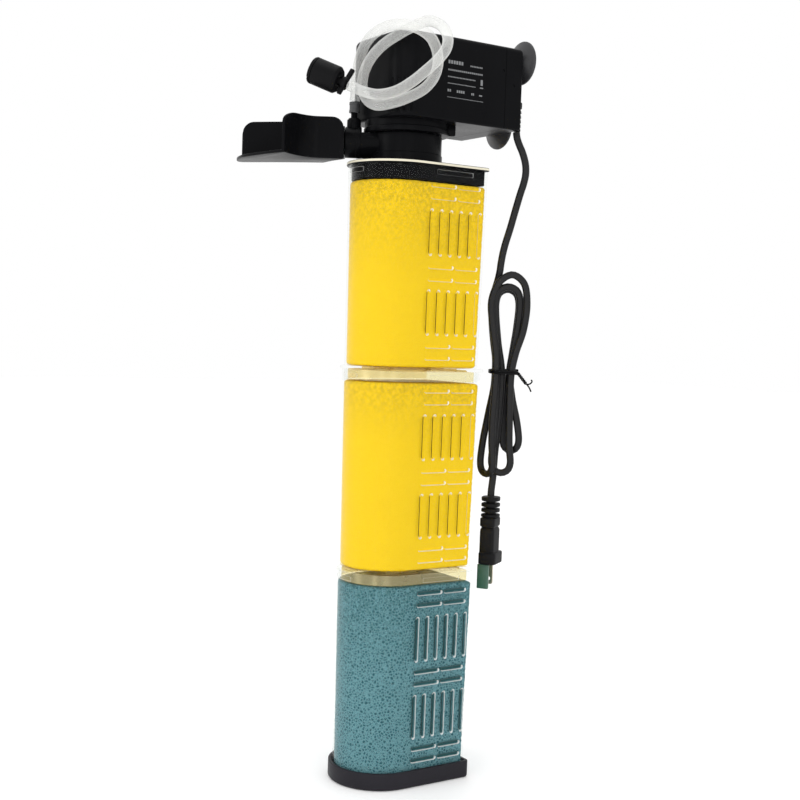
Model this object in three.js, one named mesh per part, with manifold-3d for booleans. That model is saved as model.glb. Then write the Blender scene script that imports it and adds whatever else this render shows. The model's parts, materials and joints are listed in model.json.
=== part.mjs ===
// Internal aquarium power filter: three clear cups of filter foam under a motor head with an
// impeller pump, a fan-shaped outlet deflector, an air hose with a silencer, and a mains lead.
// Millimetres, +Z up. The origin is the centre of the base cap's underside. The rounded nose and
// the outlet face -Y, the flat back and its suction cups face +Y, and the rating side is +X.
import * as THREE from 'three';
import { mergeVertices } from 'three/addons/utils/BufferGeometryUtils.js';
import Module from 'manifold-3d';

const wasm = await Module();
wasm.setup();

// Driving dimensions of the case
const GAP = 0.3; // between pieces that touch
const CUP_PITCH = 137;
const CUP_COUNT = 3;
const JOINT_Z = 7.9; // underside of the flange above cup k is JOINT_Z + (k + 1) * CUP_PITCH
const FLANGE_THICK = 2.4;
const NOSE_Y = -10; // centre of the round nose
const CUP_HALF = 31.1; // half the width over the clear wall at a cup's foot
const CUP_BACK = 42.6;
const DRAFT = 1.4; // how much CUP_HALF grows from a cup's foot to its rim
const CUP_CORNER = 3;
const WALL = 1.8;
const SPIGOT_DEEP = 7;
const SPIGOT_WALL = 1.6;
const FLANGE_HALF = 34.1;
const FLANGE_BACK = 46.3;
const LID_HALF = 33.7;
const LID_BACK = 45.3;
const LID_SKIRT_DEEP = 9.9;
const BASE_HALF = 33.8;
const BASE_BACK = 45.2;
const BASE_HEIGHT = 11.4;
const BASE_FLOOR = 2.4;
const FLANGE_CORNER = 3.4;

// Inlet slots of a cup, heights above the cup's own zero
const SLOT_WIDE = 2;
const SLOT_CUT_X = [28.2, 33.4]; // reach of a slot's cutter across the wall
const SLOT_PITCH = 7.94;
const SLOT_FIRST_Y = -1.35;
const SLOTS_IN_ROW = 6;
const UPRIGHT_BLOCKS = [[33, 62.1], [86, 115.6]];
const CROSS_SLOT_Z = [17, 25, 69.7, 78, 124, 132];
const CROSS_SLOT_Y = [[-2, 17.3], [20, 37.2]];
const SNAP_WINDOW_Y = [[-4, 9], [20, 33]];
const SNAP_WINDOW_DROP = 3.4; // below the cup's rim

// Driving dimensions of the pump head
const AXIS_Y = -3; // the neck, impeller and rotor stand on the line x = 0, y = AXIS_Y
const LID_TOP = JOINT_Z + CUP_COUNT * CUP_PITCH + FLANGE_THICK;
const NECK_RADIUS = 25;
const NECK_TOP = 441;
const COLLAR_RADIUS = 29;
const HEAD_BOTTOM = 449;
const HEAD_TOP = 504.8;
const HEAD_HALF = 34.5;
const HEAD_FRONT = -31;
const SEAM_Y = 54;
const HEAD_REAR = 69;
const HEAD_WALL = 2.5;
const HEAD_TOP_ROUND = 3.6;
const HEAD_BOTTOM_ROUND = 2;
const HEAD_NOSE_ROUND = 16;
const HEAD_TAIL_ROUND = 1.8;
const CUP_PLACES = [['left', -24, 497.5], ['right', 24, 497.5], ['bottom', 0, 455.5]];
const SUCTION_RADIUS = 15;
const SUCTION_PLANE = 76.5;

// The outlet points along a level line that leaves the neck beside its centre
const OUTLET = new THREE.Vector3(-0.55, -0.835, 0).normalize();
const SIDE = new THREE.Vector3(-OUTLET.y, OUTLET.x, 0); // level, across the outlet
const OUTLET_OFFSET = 6.5; // along SIDE
const OUTLET_Z = 434.7;
const NOZZLE_RADIUS = 10.5;
const NOZZLE_BORE = 8.6;
const NOZZLE_END = 41; // from the neck's centre
const NIPPLE_AT = [-14, -36.2];

// Deflector chute, in distances along the outlet and across it
const CHUTE_REAR = 41.4;
const CHUTE_FLOOR = 422;
const CHUTE_TOP = 449.7;
const CHUTE_WALL = 2;
const CHUTE_DIAGONAL = 56; // the floor's rear edge slants from the near wall to here
const REAR_PLATE_Z = [425, 438];
const NEAR_WALL = [[CHUTE_REAR, 20], [52, 20], [62, 20.6], [70, 27], [75.5, 35.5], [78.6, 43]];
const FAR_WALL = [[CHUTE_REAR, -4.6], [56, -5], [72, -7.6], [90, -11.4], [104, -15], [113, -17]];
const LIP = [
  [78.6, 43], [89.5, 33.4], [98.6, 23.5], [105.6, 15.5],
  [110.8, 8], [115.4, -5], [116.2, -14], [113, -17],
];

// Air silencer on the hose's end
const SILENCER_START = new THREE.Vector3(-9.6, -72.2, 478);
const SILENCER_AXIS = new THREE.Vector3(0.685, 0.620, -0.381).normalize();
const BARREL_RADIUS = 9;
const BARREL_LONG = 20.5;
const NIPPLE_TIP = 27.1;
const WING_ALONG = [23, 26];
const WING_UPPER = 11.5;
const WING_LOWER = 8.5;
const WING_TURN = 0.32;

// Air hose, mains lead and plug
const HOSE_RADIUS = 3.5;
const HOSE_ROUTE = [
  [-14, -36.2, 462.6], [-13.4, -36.2, 466.5], [-11.7, -37, 472.9], [-8, -38.4, 481.5],
  [0, -40.5, 491.8], [12.1, -41.7, 499.7], [26.5, -39.5, 504.3], [41.5, -35.4, 503.9],
  [52.4, -30.3, 500.1], [57.6, -24.8, 494.9], [57.3, -19.7, 488.2], [54.5, -16.2, 480.9],
  [50.9, -16.1, 472.6], [46, -19.8, 465.2], [37.8, -27.3, 459.3], [27.6, -34.4, 455.9],
  [18, -39.1, 455.5], [10, -41.6, 460.1], [5.1, -42, 468.6], [5.6, -41.5, 477.7],
  [12.1, -40.4, 486.6], [21.4, -37.4, 494], [31.1, -32.6, 499.5], [39.1, -26.1, 504.5],
  [47.6, -20.4, 507.4], [57.2, -17.2, 503.6], [65, -16.9, 495.5], [68.5, -19.8, 487],
  [66.3, -24.4, 479.5], [60.1, -29.4, 472.6], [51.6, -34.4, 466], [43.1, -40, 461.1],
  [32.6, -46.2, 459.5], [22.3, -50.8, 461.9], [14.8, -51.6, 464.7], [9.6, -54.9, 467.3],
];
const CORD_RADIUS = 2.5;
const DROP_ROUTE = [
  [24.4, 72.9, 449.6], [24.8, 73.2, 446], [26.1, 74.5, 441], [27.9, 76.3, 435.4], [29.3, 78.1, 427.8],
  [29.5, 78.5, 420.9], [28.9, 77.6, 414.5], [27.7, 75.8, 407], [26.2, 73.3, 395.7],
  [24.3, 70.6, 382.4], [22.8, 68.3, 372.5], [21.9, 66.9, 365], [21.3, 66, 357.5], [21, 65.6, 352.6],
];
const GLAND_LONG = 20;
const TAIL_ROUTE = [[21.4, 66.1, 208.7], [21.2, 65.8, 204], [20.9, 65.4, 199], [20.8, 65.3, 194.4]];
const HANK_CENTRE = [23.9, 69.8]; // in plan
const HANK_ACROSS = new THREE.Vector3(0.55, 0.835, 0).normalize();
const HANK_HALF = 15.8;
const HANK_THICK = 14;
const HANK_Z = [209, 352.3];
const TIE_Z = [277.5, 287.5];
const WAIST_HALF = 10.5;
const PLUG_AT = [20.9, 65.4];
const RELIEF_RIBS = [[191, 194.1, 6.8], [187, 189.6, 6.8], [183.2, 185.8, 6.8], [179.7, 181.8, 6.9]];
const PIN_ACROSS = new THREE.Vector3(-0.563, 0.826, 0).normalize(); // from one blade to the other
const BLADE_SPACING = 12.7;
const BLADE = [1.5, 6.3, 16];
const BLADE_TOP = 146.5;
const BLADE_SHIFT = 1.8; // across the row of blades, from the plug's middle
const PLUG_FLANGE_SHIFT = -1;

// Materials
function finish(color, roughness, extra = {}) {
  return () => new THREE.MeshStandardMaterial({ color, roughness, metalness: 0, ...extra });
}
const blackPlastic = finish(0x18181a, 0.38);
const charcoalPlastic = finish(0x2f2d33, 0.45);
const clearPlastic = finish(0xf2f6f6, 0.06, { transparent: true, opacity: 0.3 });
const tealFoam = finish(0x4c8485, 0.9);
const yellowFoam = finish(0xf7cf1c, 0.9);
const blackRubber = finish(0x1b1b1d, 0.7);
const hoseSilicone = finish(0xe9eae8, 0.3, { transparent: true, opacity: 0.8 });
const greyPlastic = finish(0x3a3b3d, 0.5);
const whitePlastic = finish(0xe8e6df, 0.5);
const greenPlastic = finish(0x3f6b52, 0.4);
const steel = finish(0x9a9c9f, 0.35, { metalness: 1 });
const copper = finish(0xb06a3c, 0.4, { metalness: 1 });
const brass = finish(0xc9b47a, 0.3, { metalness: 1 });
const ferrite = finish(0x3b3c40, 0.6, { metalness: 0.4 });
const ceramic = finish(0xf0ede6, 0.25);
const resin = finish(0x23262b, 0.5);
const greyFoam = finish(0x6b6d6e, 0.95);

const filter = new THREE.Group();

// A closed geometry as a solid, with its faces turned outward
function solid(geometry) {
  const bare = geometry.index ? geometry.toNonIndexed() : geometry.clone();
  bare.deleteAttribute('normal');
  bare.deleteAttribute('uv');
  const merged = mergeVertices(bare, 1e-4);
  const at = merged.attributes.position.array;
  const faces = [];
  let volume = 0;
  for (let i = 0; i < merged.index.count; i += 3) {
    const [a, b, c] = merged.index.array.slice(i, i + 3);
    if (a === b || b === c || c === a) continue;
    faces.push(a, b, c);
    const [p, q, r] = [a, b, c].map((k) => new THREE.Vector3(...at.slice(3 * k, 3 * k + 3)));
    volume += p.dot(q.cross(r));
  }
  if (volume < 0) faces.reverse();
  const vertProperties = new Float32Array(at);
  const triVerts = new Uint32Array(faces);
  return new wasm.Manifold(new wasm.Mesh({ numProp: 3, vertProperties, triVerts }));
}

// Adds a named mesh made from a solid
function add(name, body, material, parent = filter) {
  const { vertProperties, triVerts } = body.asOriginal().simplify(0.002).getMesh();
  const geometry = new THREE.BufferGeometry();
  geometry.setAttribute('position', new THREE.BufferAttribute(vertProperties, 3));
  geometry.setIndex(new THREE.BufferAttribute(triVerts, 1));
  geometry.computeVertexNormals();
  const mesh = new THREE.Mesh(geometry, material());
  mesh.name = name;
  parent.add(mesh);
  return mesh;
}

function prism(shape, low, high, curveSegments = 12) {
  const geometry = new THREE.ExtrudeGeometry(shape, {
    depth: high - low,
    bevelEnabled: false,
    curveSegments,
  });
  return solid(geometry.translate(0, 0, low));
}

function cylinder(radius, low, high, x = 0, y = 0, sides = 28, topRadius = radius) {
  const geometry = new THREE.CylinderGeometry(topRadius, radius, high - low, sides);
  return solid(geometry.rotateX(Math.PI / 2).translate(x, y, (low + high) / 2));
}

// A profile of [radius, height] pairs turned round a line along Z
function turned(profile, sides = 28, x = 0, y = 0) {
  const points = profile.map(([radius, height]) => new THREE.Vector2(radius, height));
  points.push(points[0].clone());
  return solid(new THREE.LatheGeometry(points, sides).rotateX(Math.PI / 2).translate(x, y, 0));
}

function ring(outer, inner, low, high, sides = 28, x = 0, y = 0) {
  return turned([[inner, low], [outer, low], [outer, high], [inner, high]], sides, x, y);
}

function box(x, y, z) {
  const geometry = new THREE.BoxGeometry(x[1] - x[0], y[1] - y[0], z[1] - z[0]);
  return solid(geometry.translate((x[0] + x[1]) / 2, (y[0] + y[1]) / 2, (z[0] + z[1]) / 2));
}

function joined(solids) {
  return solids.reduce((sum, next) => sum.add(next));
}

// Moves a geometry's own axes onto the given ones
function turnedTo(xAxis, yAxis, zAxis, origin) {
  const matrix = new THREE.Matrix4().makeBasis(xAxis, yAxis, zAxis);
  return matrix.setPosition(origin);
}

function tube(route, radius, steps, sides = 8) {
  const section = new THREE.Shape();
  for (let i = 0; i < sides; i += 1) {
    const turn = (2 * Math.PI * i) / sides;
    const point = [radius * Math.cos(turn), radius * Math.sin(turn)];
    if (i === 0) section.moveTo(...point);
    else section.lineTo(...point);
  }
  section.closePath();
  const path = new THREE.CatmullRomCurve3(route.map((p) => new THREE.Vector3(...p)));
  return solid(new THREE.ExtrudeGeometry(section, { steps, extrudePath: path, curveSegments: 1 }));
}

// Points on an arc about a centre, angles in half turns
function arc(x, y, radius, from, to, steps) {
  return Array.from({ length: steps + 1 }, (unused, i) => {
    const angle = Math.PI * (from + ((to - from) * i) / steps);
    return new THREE.Vector2(x + radius * Math.cos(angle), y + radius * Math.sin(angle));
  });
}

// Plan of the case: a half-round nose, straight sides and a flat back with rounded corners
function casePlan(half, back, corner, noseSteps = 22) {
  return new THREE.Shape([
    ...arc(0, NOSE_Y, half, 1, 2, noseSteps),
    ...arc(half - corner, back - corner, corner, 0, 0.5, 3),
    ...arc(corner - half, back - corner, corner, 0.5, 1, 3),
  ]);
}

const jointZ = (k) => JOINT_Z + k * CUP_PITCH;

// A solid of the case's plan at cup k, set in from the wall and widening upward with the draft
function caseSolid(k, inset, low, high, noseSteps = 22) {
  const corner = Math.max(CUP_CORNER - inset, 1);
  const plan = casePlan(CUP_HALF - inset, CUP_BACK - inset, corner, noseSteps);
  const geometry = new THREE.ExtrudeGeometry(plan, { depth: high - low, bevelEnabled: false });
  geometry.translate(0, 0, low);
  const at = geometry.attributes.position;
  for (let i = 0; i < at.count; i += 1) {
    const grown = 1 + (DRAFT / CUP_HALF) * ((at.getZ(i) - jointZ(k)) / CUP_PITCH);
    at.setXY(i, at.getX(i) * grown, NOSE_Y + (at.getY(i) - NOSE_Y) * grown);
  }
  return solid(geometry);
}

function flangeSolid(half, back, low, high) {
  return prism(casePlan(half, back, FLANGE_CORNER), low, high);
}

// Base cap: a shallow tray that closes the lowest cup
function baseCap() {
  const tray = prism(casePlan(BASE_HALF, BASE_BACK, FLANGE_CORNER), 0, BASE_HEIGHT);
  const hollow = caseSolid(0, -GAP, BASE_FLOOR, BASE_HEIGHT + 1);
  add('base_cap', tray.subtract(hollow), charcoalPlastic);
}

function cupSlots(zero) {
  const slots = [];
  const [inside, outside] = SLOT_CUT_X;
  for (const sign of [1, -1]) {
    const side = [sign * inside, sign * outside].sort((a, b) => a - b);
    for (const [low, high] of UPRIGHT_BLOCKS) {
      for (let i = 0; i < SLOTS_IN_ROW; i += 1) {
        const y = SLOT_FIRST_Y + i * SLOT_PITCH;
        slots.push(box(side, [y - SLOT_WIDE / 2, y + SLOT_WIDE / 2], [zero + low, zero + high]));
      }
    }
    for (const z of CROSS_SLOT_Z) {
      for (const y of CROSS_SLOT_Y) {
        slots.push(box(side, y, [zero + z - SLOT_WIDE / 2, zero + z + SLOT_WIDE / 2]));
      }
    }
    const shallow = [sign * (CUP_HALF + DRAFT - 0.6), sign * outside].sort((a, b) => a - b);
    for (const y of SNAP_WINDOW_Y) {
      const z = zero + jointZ(1) - GAP - SNAP_WINDOW_DROP;
      slots.push(box(shallow, y, [z - 1, z + 1]));
    }
  }
  return joined(slots);
}

// A cup of the case: clear wall, and on the upper two a flange, a spigot and a floor grille
function cup(name, k) {
  const zero = k * CUP_PITCH;
  const rim = jointZ(k + 1) - GAP;
  const foot = k === 0 ? BASE_FLOOR + GAP : jointZ(k);
  let body = caseSolid(k, 0, foot, rim).subtract(caseSolid(k, WALL, foot - 1, rim + 1));
  body = body.subtract(cupSlots(zero));
  if (k > 0) {
    const inner = WALL + GAP + SPIGOT_WALL;
    const spigot = caseSolid(k - 1, WALL + GAP, foot - SPIGOT_DEEP, foot + 1);
    const spigotHollow = caseSolid(k - 1, inner, foot - SPIGOT_DEEP - 1, foot + 2);
    body = body.add(spigot.subtract(spigotHollow));
    body = body.add(flangeSolid(FLANGE_HALF, FLANGE_BACK, foot, foot + FLANGE_THICK));
    const windows = [];
    for (const x of [-16, 0, 16]) {
      windows.push(box([x - 5, x + 5], [-20, 6], [foot - 1, foot + FLANGE_THICK + 1]));
      windows.push(box([x - 5, x + 5], [10, 32], [foot - 1, foot + FLANGE_THICK + 1]));
    }
    body = body.subtract(joined(windows));
  }
  add(name, body, clearPlastic);
}

function sponge(name, k, material) {
  const low = k === 0 ? BASE_FLOOR + GAP : jointZ(k) + FLANGE_THICK + GAP;
  const high = jointZ(k + 1) - (k === CUP_COUNT - 1 ? LID_SKIRT_DEEP : SPIGOT_DEEP) - 2 * GAP;
  add(name, caseSolid(k, WALL + 0.4, low, high, 16), material);
}

// Lid: flange, skirt inside the top cup, and the spigot that the pump's neck turns on
function lid() {
  const under = jointZ(CUP_COUNT);
  const last = CUP_COUNT - 1;
  const bottom = under - LID_SKIRT_DEEP;
  let body = flangeSolid(LID_HALF, LID_BACK, under, LID_TOP);
  const skirt = caseSolid(last, WALL + GAP, bottom, under + 1);
  body = body.add(skirt.subtract(caseSolid(last, 2 * WALL + GAP, bottom - 1, under)));
  body = body.add(cylinder(20.2, LID_TOP - 1, LID_TOP + 5, 0, AXIS_Y));
  body = body.subtract(cylinder(17.6, under - 1, LID_TOP + 6, 0, AXIS_Y));
  add('case_lid', body, blackPlastic);
  const groove = LID_TOP + 3;
  const seal = [[20.5, groove - 0.7], [21.3, groove - 1], [22, groove], [21.3, groove + 1]];
  seal.push([20.5, groove + 0.7]);
  add('neck_seal', turned(seal, 28, 0, AXIS_Y), blackRubber);
}

// A round bar or bore along the outlet, between two distances from the neck's centre
function outletBar(radius, from, to, sides = 24) {
  const geometry = new THREE.CylinderGeometry(radius, radius, to - from, sides);
  const middle = new THREE.Vector3(0, AXIS_Y, OUTLET_Z)
    .addScaledVector(SIDE, OUTLET_OFFSET)
    .addScaledVector(OUTLET, (from + to) / 2);
  const up = new THREE.Vector3(0, 0, 1);
  const across = new THREE.Vector3().crossVectors(OUTLET, up);
  return solid(geometry.applyMatrix4(turnedTo(across, OUTLET, up.negate(), middle)));
}

// Pump chamber with the neck recess below, the outlet nozzle, and the air nipple on its crown
function volute() {
  const foot = LID_TOP + GAP;
  const neck = [[0, foot], [NECK_RADIUS - 1, foot], [NECK_RADIUS, foot + 1], [NECK_RADIUS, NECK_TOP - 1]];
  neck.push([NECK_RADIUS - 1, NECK_TOP], [0, NECK_TOP]);
  let body = turned(neck, 32, 0, AXIS_Y);
  const underHead = cylinder(COLLAR_RADIUS + 0.4, NECK_TOP, 460, 0, AXIS_Y);
  body = body.add(outletBar(NOZZLE_RADIUS, 12, NOZZLE_END).subtract(underHead));
  const [x, y] = NIPPLE_AT;
  body = body.add(cylinder(4.7, 441, 451, x, y, 24));
  body = body.add(cylinder(2.2, 450, 461.5, x, y, 16));
  body = body.subtract(cylinder(22.3, foot - 1, 427.2, 0, AXIS_Y));
  body = body.subtract(cylinder(20, 427, 429.4, 0, AXIS_Y));
  body = body.subtract(cylinder(18.4, 429, NECK_TOP + 1, 0, AXIS_Y));
  body = body.subtract(ring(22.8, 20.3, 439.2, NECK_TOP + 1, 28, 0, AXIS_Y));
  body = body.subtract(outletBar(4.6, 8, NOZZLE_END + 1, 16));
  body = body.subtract(outletBar(NOZZLE_BORE, 31, NOZZLE_END + 1));
  body = body.subtract(cylinder(1, OUTLET_Z + 3, 462, x, y, 12));
  add('volute_housing', body, blackPlastic);
  add('volute_seal', ring(22.5, 20.6, 439.5, 441.2, 28, 0, AXIS_Y), blackRubber);
}

// Cover under the impeller: a spoked disc whose hub holds the lower bush
function impellerCover() {
  let body = cylinder(19.6, 427.5, 429.1, 0, AXIS_Y);
  body = body.subtract(ring(14, 5.4, 427, 430, 28, 0, AXIS_Y));
  const spokes = [0, 1, 2, 3].map((i) => {
    const spoke = solid(new THREE.BoxGeometry(12, 2, 1.6).translate(9.5, 0, 428.3));
    return spoke.rotate([0, 0, 90 * i]).translate([0, AXIS_Y, 0]);
  });
  body = joined([body, ...spokes, cylinder(5.6, 425.6, 429.1, 0, AXIS_Y, 24)]);
  body = body.subtract(cylinder(3.6, 426.6, 430, 0, AXIS_Y, 20));
  add('impeller_cover', body, blackPlastic);
  add('shaft_bush_lower', ring(3.3, 1.9, 427, 429.6, 20, 0, AXIS_Y), blackRubber);
}

// Fixed ceramic shaft with the magnet rotor and the impeller that spin on it
function rotor() {
  add('rotor_shaft', cylinder(1.5, 427.2, 483.4, 0, AXIS_Y, 16), ceramic);
  add('rotor_magnet', ring(7.5, 1.9, 444.6, 479.5, 32, 0, AXIS_Y), ferrite);
  const blades = [0, 1, 2, 3, 4, 5].map((i) => {
    const blade = solid(new THREE.BoxGeometry(12, 1.6, 7.4).translate(9, 0, 434.3));
    return blade.rotate([0, 0, 60 * i]).translate([0, AXIS_Y, 0]);
  });
  const hub = cylinder(4.6, 430.4, 444.2, 0, AXIS_Y, 24);
  const disc = cylinder(15.4, 437.4, 439, 0, AXIS_Y, 36);
  const impeller = joined([hub, disc, ...blades]).subtract(cylinder(1.9, 430, 445, 0, AXIS_Y, 20));
  add('impeller', impeller, whitePlastic);
  add('shaft_bush_upper', ring(3.3, 1.9, 480, 483.4, 20, 0, AXIS_Y), blackRubber);
}

function rotorWell() {
  const outline = [[8.4, 441.6], [22.6, 441.6], [22.6, 443.6], [10, 443.6], [10, 486], [0, 486]];
  outline.push([0, 484], [3.6, 484], [3.6, 479.8], [8.4, 479.8]);
  const points = outline.map(([radius, height]) => new THREE.Vector2(radius, height));
  points.push(points[0].clone());
  const geometry = new THREE.LatheGeometry(points, 24).rotateX(Math.PI / 2);
  add('rotor_well', solid(geometry.translate(0, AXIS_Y, 0)), greyPlastic);
}

// Stator: a laminated U round the rotor well, with a coil on each leg
function stator() {
  const core = [457, 473];
  let body = box([-24, 24], [-16, 46], core);
  body = body.subtract(box([-12, 12], [6, 36], [450, 480]));
  body = body.subtract(box([-4, 4], [-17, 10], [450, 480]));
  body = body.subtract(cylinder(10.6, 450, 480, 0, AXIS_Y, 36));
  add('stator_core', body, steel);
  for (const [name, sign] of [['stator_coil_left', -1], ['stator_coil_right', 1]]) {
    const across = [sign * 18 - 13.4, sign * 18 + 13.4];
    const coil = box(across, [9, 35], [452, 478]);
    const hole = box([sign * 18 - 6.5, sign * 18 + 6.5], [8, 36], [456.5, 473.5]);
    add(name, coil.subtract(hole), copper);
  }
}

// Cross-section of the motor head and its plan, both set in by the wall for the hollow
function headSolid(inset, yFrom, yTo) {
  const half = HEAD_HALF - inset;
  const low = HEAD_BOTTOM + inset;
  const high = HEAD_TOP - inset;
  const top = Math.max(HEAD_TOP_ROUND - inset, 0.6);
  const bottom = Math.max(HEAD_BOTTOM_ROUND - inset, 0.6);
  const section = new THREE.Shape();
  section.absarc(half - bottom, low + bottom, bottom, -Math.PI / 2, 0, false);
  section.absarc(half - top, high - top, top, 0, Math.PI / 2, false);
  section.absarc(top - half, high - top, top, Math.PI / 2, Math.PI, false);
  section.absarc(bottom - half, low + bottom, bottom, Math.PI, 1.5 * Math.PI, false);
  section.closePath();
  const extrusion = { depth: 140, bevelEnabled: false, curveSegments: 3 };
  const long = new THREE.ExtrudeGeometry(section, extrusion);
  const bar = solid(long.rotateX(Math.PI / 2).translate(0, 100, 0));
  const front = HEAD_FRONT + inset;
  const nose = HEAD_NOSE_ROUND - inset;
  const tail = HEAD_TAIL_ROUND;
  const plan = new THREE.Shape();
  plan.absarc(nose - half, front + nose, nose, Math.PI, 1.5 * Math.PI, false);
  plan.absarc(half - nose, front + nose, nose, 1.5 * Math.PI, 2 * Math.PI, false);
  const rear = HEAD_REAR - inset;
  plan.absarc(half - tail, rear - tail, tail, 0, Math.PI / 2, false);
  plan.absarc(tail - half, rear - tail, tail, Math.PI / 2, Math.PI, false);
  plan.closePath();
  const slice = box([-60, 60], [yFrom, yTo], [low - 5, high + 5]);
  return bar.intersect(prism(plan, low - 5, high + 5, 6)).intersect(slice);
}

function motorHousing() {
  let body = headSolid(0, HEAD_FRONT - 5, SEAM_Y);
  const collar = [[0, NECK_TOP + GAP], [28.2, NECK_TOP + GAP], [COLLAR_RADIUS, NECK_TOP + 1.1]];
  collar.push([COLLAR_RADIUS, HEAD_BOTTOM + 1], [0, HEAD_BOTTOM + 1]);
  body = body.add(turned(collar, 32, 0, AXIS_Y));
  const lug = solid(new THREE.BoxGeometry(7, 6, 7.4).translate(COLLAR_RADIUS + 1, 0, 445.7));
  body = body.add(lug.rotate([0, 0, 56.6]).translate([0, AXIS_Y, 0]));
  body = body.subtract(headSolid(HEAD_WALL, HEAD_FRONT, SEAM_Y + 1));
  body = body.subtract(cylinder(23.2, NECK_TOP, 444, 0, AXIS_Y));
  body = body.subtract(cylinder(10.4, NECK_TOP, HEAD_BOTTOM + 4, 0, AXIS_Y));
  const flutes = [];
  for (const turn of [-72, -56, -40, -24]) {
    for (const side of [1, -1]) {
      const angle = (turn * Math.PI) / 180;
      const reach = HEAD_NOSE_ROUND + GAP;
      const x = side * (HEAD_HALF - HEAD_NOSE_ROUND + reach * Math.cos(angle));
      const y = HEAD_FRONT + HEAD_NOSE_ROUND + reach * Math.sin(angle);
      flutes.push(cylinder(1, HEAD_BOTTOM + 4, HEAD_BOTTOM + 24, x, y, 6));
    }
  }
  add('motor_housing', body.subtract(joined(flutes)), blackPlastic);
  add('resin_seal', headSolid(HEAD_WALL + GAP, 47, 50.4), resin);
}

function rearCover() {
  let body = headSolid(0, SEAM_Y + GAP, HEAD_REAR + 1);
  const lip = headSolid(HEAD_WALL + GAP, SEAM_Y - 3, SEAM_Y + 2);
  body = body.add(lip.subtract(headSolid(HEAD_WALL + GAP + 1.5, SEAM_Y - 5, SEAM_Y + 3)));
  body = body.subtract(headSolid(HEAD_WALL, SEAM_Y + 2, HEAD_REAR));
  for (const [, x, z] of CUP_PLACES) {
    const hole = new THREE.CylinderGeometry(2.7, 2.7, 20, 16).translate(x, HEAD_REAR, z);
    body = body.subtract(solid(hole));
  }
  add('rear_cover', body, blackPlastic);
}

// Suction cup: a button in the rear cover, a neck, and a dished disc that faces +Y
function suctionCup(name, x, z) {
  const profile = [[0, 64], [3.5, 64], [3.5, 66.1], [2.3, 66.1], [2.3, 69.3], [6, 69.3]];
  profile.push([7.6, 70.8], [10.5, 72.8], [SUCTION_RADIUS, 75.4], [SUCTION_RADIUS, SUCTION_PLANE]);
  profile.push([13, SUCTION_PLANE], [8.6, 73.8], [4, 71.9], [0, 71.2]);
  const points = profile.map(([radius, height]) => new THREE.Vector2(radius, height));
  points.push(points[0].clone());
  add(name, solid(new THREE.LatheGeometry(points, 20).translate(x, 0, z)), blackRubber);
}

// Cord gland: a small hooded outlet on the rear cover, open downward
function cordGland() {
  const [x, y, z] = DROP_ROUTE[0];
  const low = z + 2 * GAP;
  const high = low + GLAND_LONG;
  const hood = cylinder(2.7, low, high, x, y, 20, 3.3);
  const root = box([x - 2.8, x + 2.8], [HEAD_REAR + GAP, y], [high - 6, high - 0.6]);
  const body = hood.add(root).subtract(cylinder(2.4, low - 1, low + 3, x, y, 12));
  add('cord_gland', body, blackRubber);
}

// A point of the chute's plan, from distances along and across the outlet
function chutePoint(along, across) {
  const point = OUTLET.clone().multiplyScalar(along).addScaledVector(SIDE, across);
  return new THREE.Vector2(point.x, point.y + AXIS_Y);
}

function chuteShape(points) {
  const curve = new THREE.Shape();
  points.forEach(([along, across], i) => {
    const point = chutePoint(along, across);
    if (i === 0) curve.moveTo(point.x, point.y);
    else curve.lineTo(point.x, point.y);
  });
  curve.closePath();
  return curve;
}

// Points on a smooth curve through a few given ones
function smooth(points, divisions) {
  const curve = new THREE.SplineCurve(points.map(([a, b]) => new THREE.Vector2(a, b)));
  return curve.getPoints(divisions).map((p) => [p.x, p.y]);
}

// A side view of a chute wall, pushed across the outlet. Its rear end can be lifted clear.
function sideCut(end, round, from, to, liftedTo) {
  const shape = new THREE.Shape();
  shape.moveTo(CHUTE_REAR, liftedTo);
  shape.lineTo(CHUTE_DIAGONAL, CHUTE_FLOOR - 1);
  shape.lineTo(end, CHUTE_FLOOR - 1);
  shape.lineTo(end, CHUTE_TOP - round);
  shape.absarc(end - round, CHUTE_TOP - round, round, 0, Math.PI / 2, false);
  shape.absarc(CHUTE_REAR + 8, CHUTE_TOP - 8, 8, Math.PI / 2, Math.PI, false);
  shape.closePath();
  const geometry = new THREE.ExtrudeGeometry(shape, {
    depth: to - from,
    bevelEnabled: false,
    curveSegments: 6,
  });
  const origin = new THREE.Vector3(0, AXIS_Y, 0).addScaledVector(SIDE, to);
  const up = new THREE.Vector3(0, 0, 1);
  return solid(geometry.applyMatrix4(turnedTo(OUTLET, up, SIDE.clone().negate(), origin)));
}

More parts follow.
